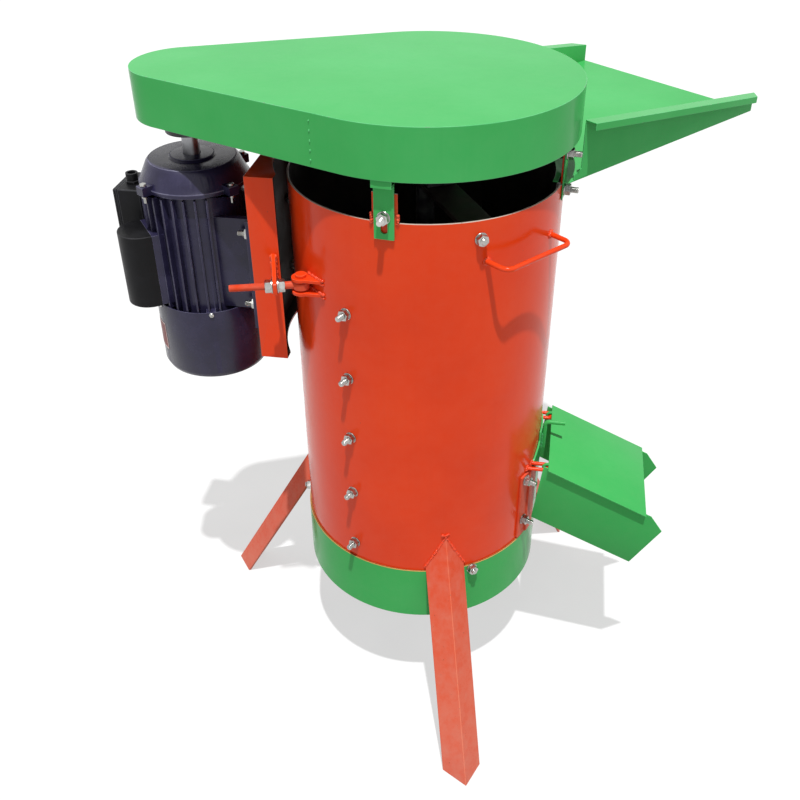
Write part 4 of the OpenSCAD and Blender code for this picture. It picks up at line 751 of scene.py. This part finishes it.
BEAD_STEP, BEAD_R = 2.8, 2.5
ARC_R = DRUM_R + 1  # welds that lie on the drum's wall
LEG_FOOT_R = 445
LEG_OUT, LEG_RISE = 225, 409  # lean of a leg
LEG_HALF = 35.4  # from the ridge of the angle iron to its edge, seen from the front
STRAY_Z = 410
HANDLE_DIRECTION, HANDLE_Z, HANDLE_ROD_R = -39.5, 940, 4
STAPLE_Z, STAPLE_ROD_R = 484, 3.5
LUG_HALF = 5.1  # degrees


def beside(direction, ahead, side, z):
    """A point ahead along a direction and to its left."""
    way, left = outward(direction), outward(direction + 90)
    return spot(ahead * way.x + side * left.x, ahead * way.y + side * left.y, z)


def rod_weld(direction, across, z, rod):
    """A ring on the drum round a rod that meets it at a distance beside a direction."""
    ring = []
    for k in range(13):
        turn = math.tau * k / 12
        side = across + (rod + 0.6) * math.cos(turn)
        ahead = math.sqrt((DRUM_R + 0.4) ** 2 - side ** 2)
        ring.append(beside(direction, ahead, side, z + (rod + 0.6) * math.sin(turn)))
    return ring


def leg_weld(direction):
    """The line along which the two faces of a leg's angle iron meet the drum."""
    lean = math.atan2(LEG_OUT, LEG_RISE)
    line = []
    for k in range(-10, 11):
        side = LEG_HALF * k / 10
        ahead = math.sqrt((DRUM_R + 0.6) ** 2 - side ** 2)
        reach = (LEG_FOOT_R - abs(side) * math.cos(lean) - ahead) / math.sin(lean)
        line.append(beside(direction, ahead, side, reach * math.cos(lean) - abs(side) * math.sin(lean)))
    return line


def stray_weld(direction):
    """The end of a bead that ran on above a leg."""
    return [round_spot(ARC_R, direction + step, STRAY_Z + rise)
            for step, rise in ((-1.4, 3), (-0.2, 1), (1.2, 4))]


def arc_weld(first, last, z):
    """A bead on the drum between two directions."""
    return [round_spot(ARC_R, first + (last - first) * k / 8, z) for k in range(9)]


def lug_weld(degrees):
    """A bead up the side of a lug on the rim."""
    return [round_spot(DRUM_R + 0.5, degrees, RIM_Z + z) for z in (-1, 5, 12)]


frame_lines = [leg_weld(direction) for direction in LEG_DIRECTIONS]
# Ends of the carry handle and of the hood's staples
frame_lines += [rod_weld(HANDLE_DIRECTION, side, HANDLE_Z, HANDLE_ROD_R) for side in (-69, 69)]
frame_lines += [rod_weld(0, side, STAPLE_Z, STAPLE_ROD_R) for side in (-88, -72, 72, 88)]
# Above and below the clevis's two ears and the two hinge lugs of the motor plate
frame_lines += [arc_weld(-137, -127, z) for z in (851.2, 857.8, 874.2, 880.8)]
frame_lines += [arc_weld(141.4, 147.8, z) for z in (769, 783, 919, 933)]
# Both sides of the rim lugs
frame_lines += [lug_weld(degrees + side) for degrees in LUG_DIRECTIONS for side in (-LUG_HALF, LUG_HALF)]
frame_lines += [stray_weld(direction) for direction in LEG_DIRECTIONS]
welds("frame_welds", "frame", "orange_paint", orange_weld, frame_lines, BEAD_STEP, BEAD_R)

# Both sides of the tab on the motor plate, and of the rod on the gate
TAB_WELD_Y = -125.8
tab_lines = [[spot(x, TAB_WELD_Y, z) for z in range(838, 897, 6)] for x in (-228, -220.6)]
welds("tab_welds", "motor_unit", "orange_paint", orange_weld, tab_lines, BEAD_STEP, BEAD_R)

GATE_FACE_X = 224.6
gate_lines = [[spot(GATE_FACE_X, y, z) for z in range(472, 505, 6)] for y in (-4.2, 4.2)]
welds("gate_rod_welds", "gate", "green_paint", green_weld, gate_lines, 2.6, 1.7)

# Spot welds of the lap in the guard's front wall, along the flat stretch from the round end
FLAT_START = Vector((-94.4, -218.5, 0))
FLAT_WAY = Vector((-318.5, 137.7, 0)).normalized()
LAP_ALONG = 42
lap = FLAT_START + FLAT_WAY * LAP_ALONG
lap_lines = [[spot(lap.x, lap.y, z), spot(lap.x, lap.y, z + 1)] for z in (1084, 1098, 1112, 1126, 1140)]
welds("guard_spot_welds", "frame", "green_paint", green_edge, lap_lines, 2.0, 1.4)


# Blank rating plate on the fan cover

def curved_plate(shape, r_in, r_out, first, last, z0, z1):
    """A thin plate bent round the motor's axis."""
    rows = []
    for k in range(9):
        way = outward(first + (last - first) * k / 8)
        rows.append([shape.verts.new(spot(MOTOR_X + r * way.x, r * way.y, z))
                     for r, z in ((r_in, z0), (r_out, z0), (r_out, z1), (r_in, z1))])
    stitch(shape, rows)
    shape.faces.new(rows[0])
    shape.faces.new(rows[-1])


LABEL_FIRST, LABEL_LAST = 208, 226  # degrees round the motor
LABEL_LOW_Z, LABEL_HIGH_Z = 664, 712
DEGREES_PER_MM = 0.6  # on the fan cover
for name, grow, lift, finish in (("rating_plate_border", 2.2, 0.45, plate_border),
                                 ("rating_plate", 0.0, 0.6, plate_red)):
    shape = bmesh.new()
    curved_plate(shape, FAN_COVER_R - 0.4, FAN_COVER_R + lift, LABEL_FIRST - DEGREES_PER_MM * grow,
                 LABEL_LAST + DEGREES_PER_MM * grow, LABEL_LOW_Z - grow, LABEL_HIGH_Z + grow)
    keep(new_piece(name, finished_mesh(shape, name, 40), [finish]), "motor_unit", "motor_paint")


# Stage, light and camera

FLOOR_HALF = 9  # metres


def shown_rays(tree):
    """1 for the rays by which the backdrop is seen: straight, through glass or in a reflection."""
    rays = add(tree, "ShaderNodeLightPath").outputs
    clear = add(tree, "ShaderNodeMath", {"operation": "MAXIMUM"}, i0=rays["Is Camera Ray"],
                i1=rays["Is Transmission Ray"])
    return add(tree, "ShaderNodeMath", {"operation": "MAXIMUM"}, i0=clear.outputs[0],
               i1=rays["Is Glossy Ray"]).outputs[0]


# The floor is white to the eye with a shadow on it, and throws back little light
floor_corners = [(x * FLOOR_HALF, y * FLOOR_HALF, 0) for x, y in ((-1, -1), (1, -1), (1, 1), (-1, 1))]
floor_mesh = bpy.data.meshes.new("studio_floor")
floor_mesh.from_pydata(floor_corners, [], [(0, 1, 2, 3)])
floor_paint, tree, place = new_material("matt_white_floor")
shown = shown_rays(tree)
floor_tone = ramp(tree, noise(tree, place, 3.0), [(0.3, "#f4f4f4"), (0.7, "#fafafa")])
matt = add(tree, "ShaderNodeBsdfDiffuse", Color=blend(tree, shown, linear("#b4b4b4"), floor_tone))
white = add(tree, "ShaderNodeEmission", Color=floor_tone, Strength=1.0)
mixed = add(tree, "ShaderNodeMixShader", i0=spread(tree, shown, 0.0, 1.0, 0.0, 0.62), i1=matt.outputs[0],
            i2=white.outputs[0])
add(tree, "ShaderNodeOutputMaterial", Surface=mixed.outputs[0])
new_piece("studio_floor", floor_mesh, [floor_paint])

# The sky lights softly and shows as white to the camera and in reflections
world = bpy.data.worlds.new("studio_sky")
bpy.context.scene.world = world
world.use_nodes = True
tree = world.node_tree
tree.nodes.clear()
SKY_LIGHT, SKY_SHOWN = 0.42, 1.0
sky = add(tree, "ShaderNodeBackground", Color=(1.0, 1.0, 1.0, 1.0),
          Strength=spread(tree, shown_rays(tree), 0.0, 1.0, SKY_LIGHT, SKY_SHOWN))
add(tree, "ShaderNodeOutputWorld", Surface=sky.outputs["Background"])

# High sun above the camera, small enough for crisp shadows
sun = bpy.data.lights.new("high_sun", "SUN")
sun.energy = 3.3
sun.angle = math.radians(1)
lamp = bpy.data.objects.new("high_sun", sun)
SUN_DIRECTION = -78
sun_height = math.radians(72.8)
sun_way = outward(SUN_DIRECTION) * math.cos(sun_height) + Vector((0, 0, math.sin(sun_height)))
lamp.rotation_euler = sun_way.to_track_quat("Z", "Y").to_euler()
bpy.context.scene.collection.objects.link(lamp)

# The camera looks 35 degrees down from where the photograph was taken
CAMERA_SPOT = (203.5, -1448, 1582.4)
camera_data = bpy.data.cameras.new("photo_camera")
camera_data.sensor_width = 36
camera_data.lens = 43.26
camera_data.clip_end = 60
camera = bpy.data.objects.new("photo_camera", camera_data)
heading, pitch, roll = (math.radians(v) for v in (99.695, 35.215, -0.404))
forward = Vector((math.cos(heading) * math.cos(pitch), math.sin(heading) * math.cos(pitch),
                  -math.sin(pitch)))
level = forward.cross(Vector((0, 0, 1))).normalized()
upright = level.cross(forward)
right = level * math.cos(roll) + upright * math.sin(roll)
up = upright * math.cos(roll) - level * math.sin(roll)
turned_camera = Matrix((right, up, -forward)).transposed().to_4x4()
camera.matrix_world = Matrix.Translation(spot(*CAMERA_SPOT)) @ turned_camera
bpy.context.scene.collection.objects.link(camera)
bpy.context.scene.camera = camera
bpy.context.scene.view_settings.view_transform = "Standard"
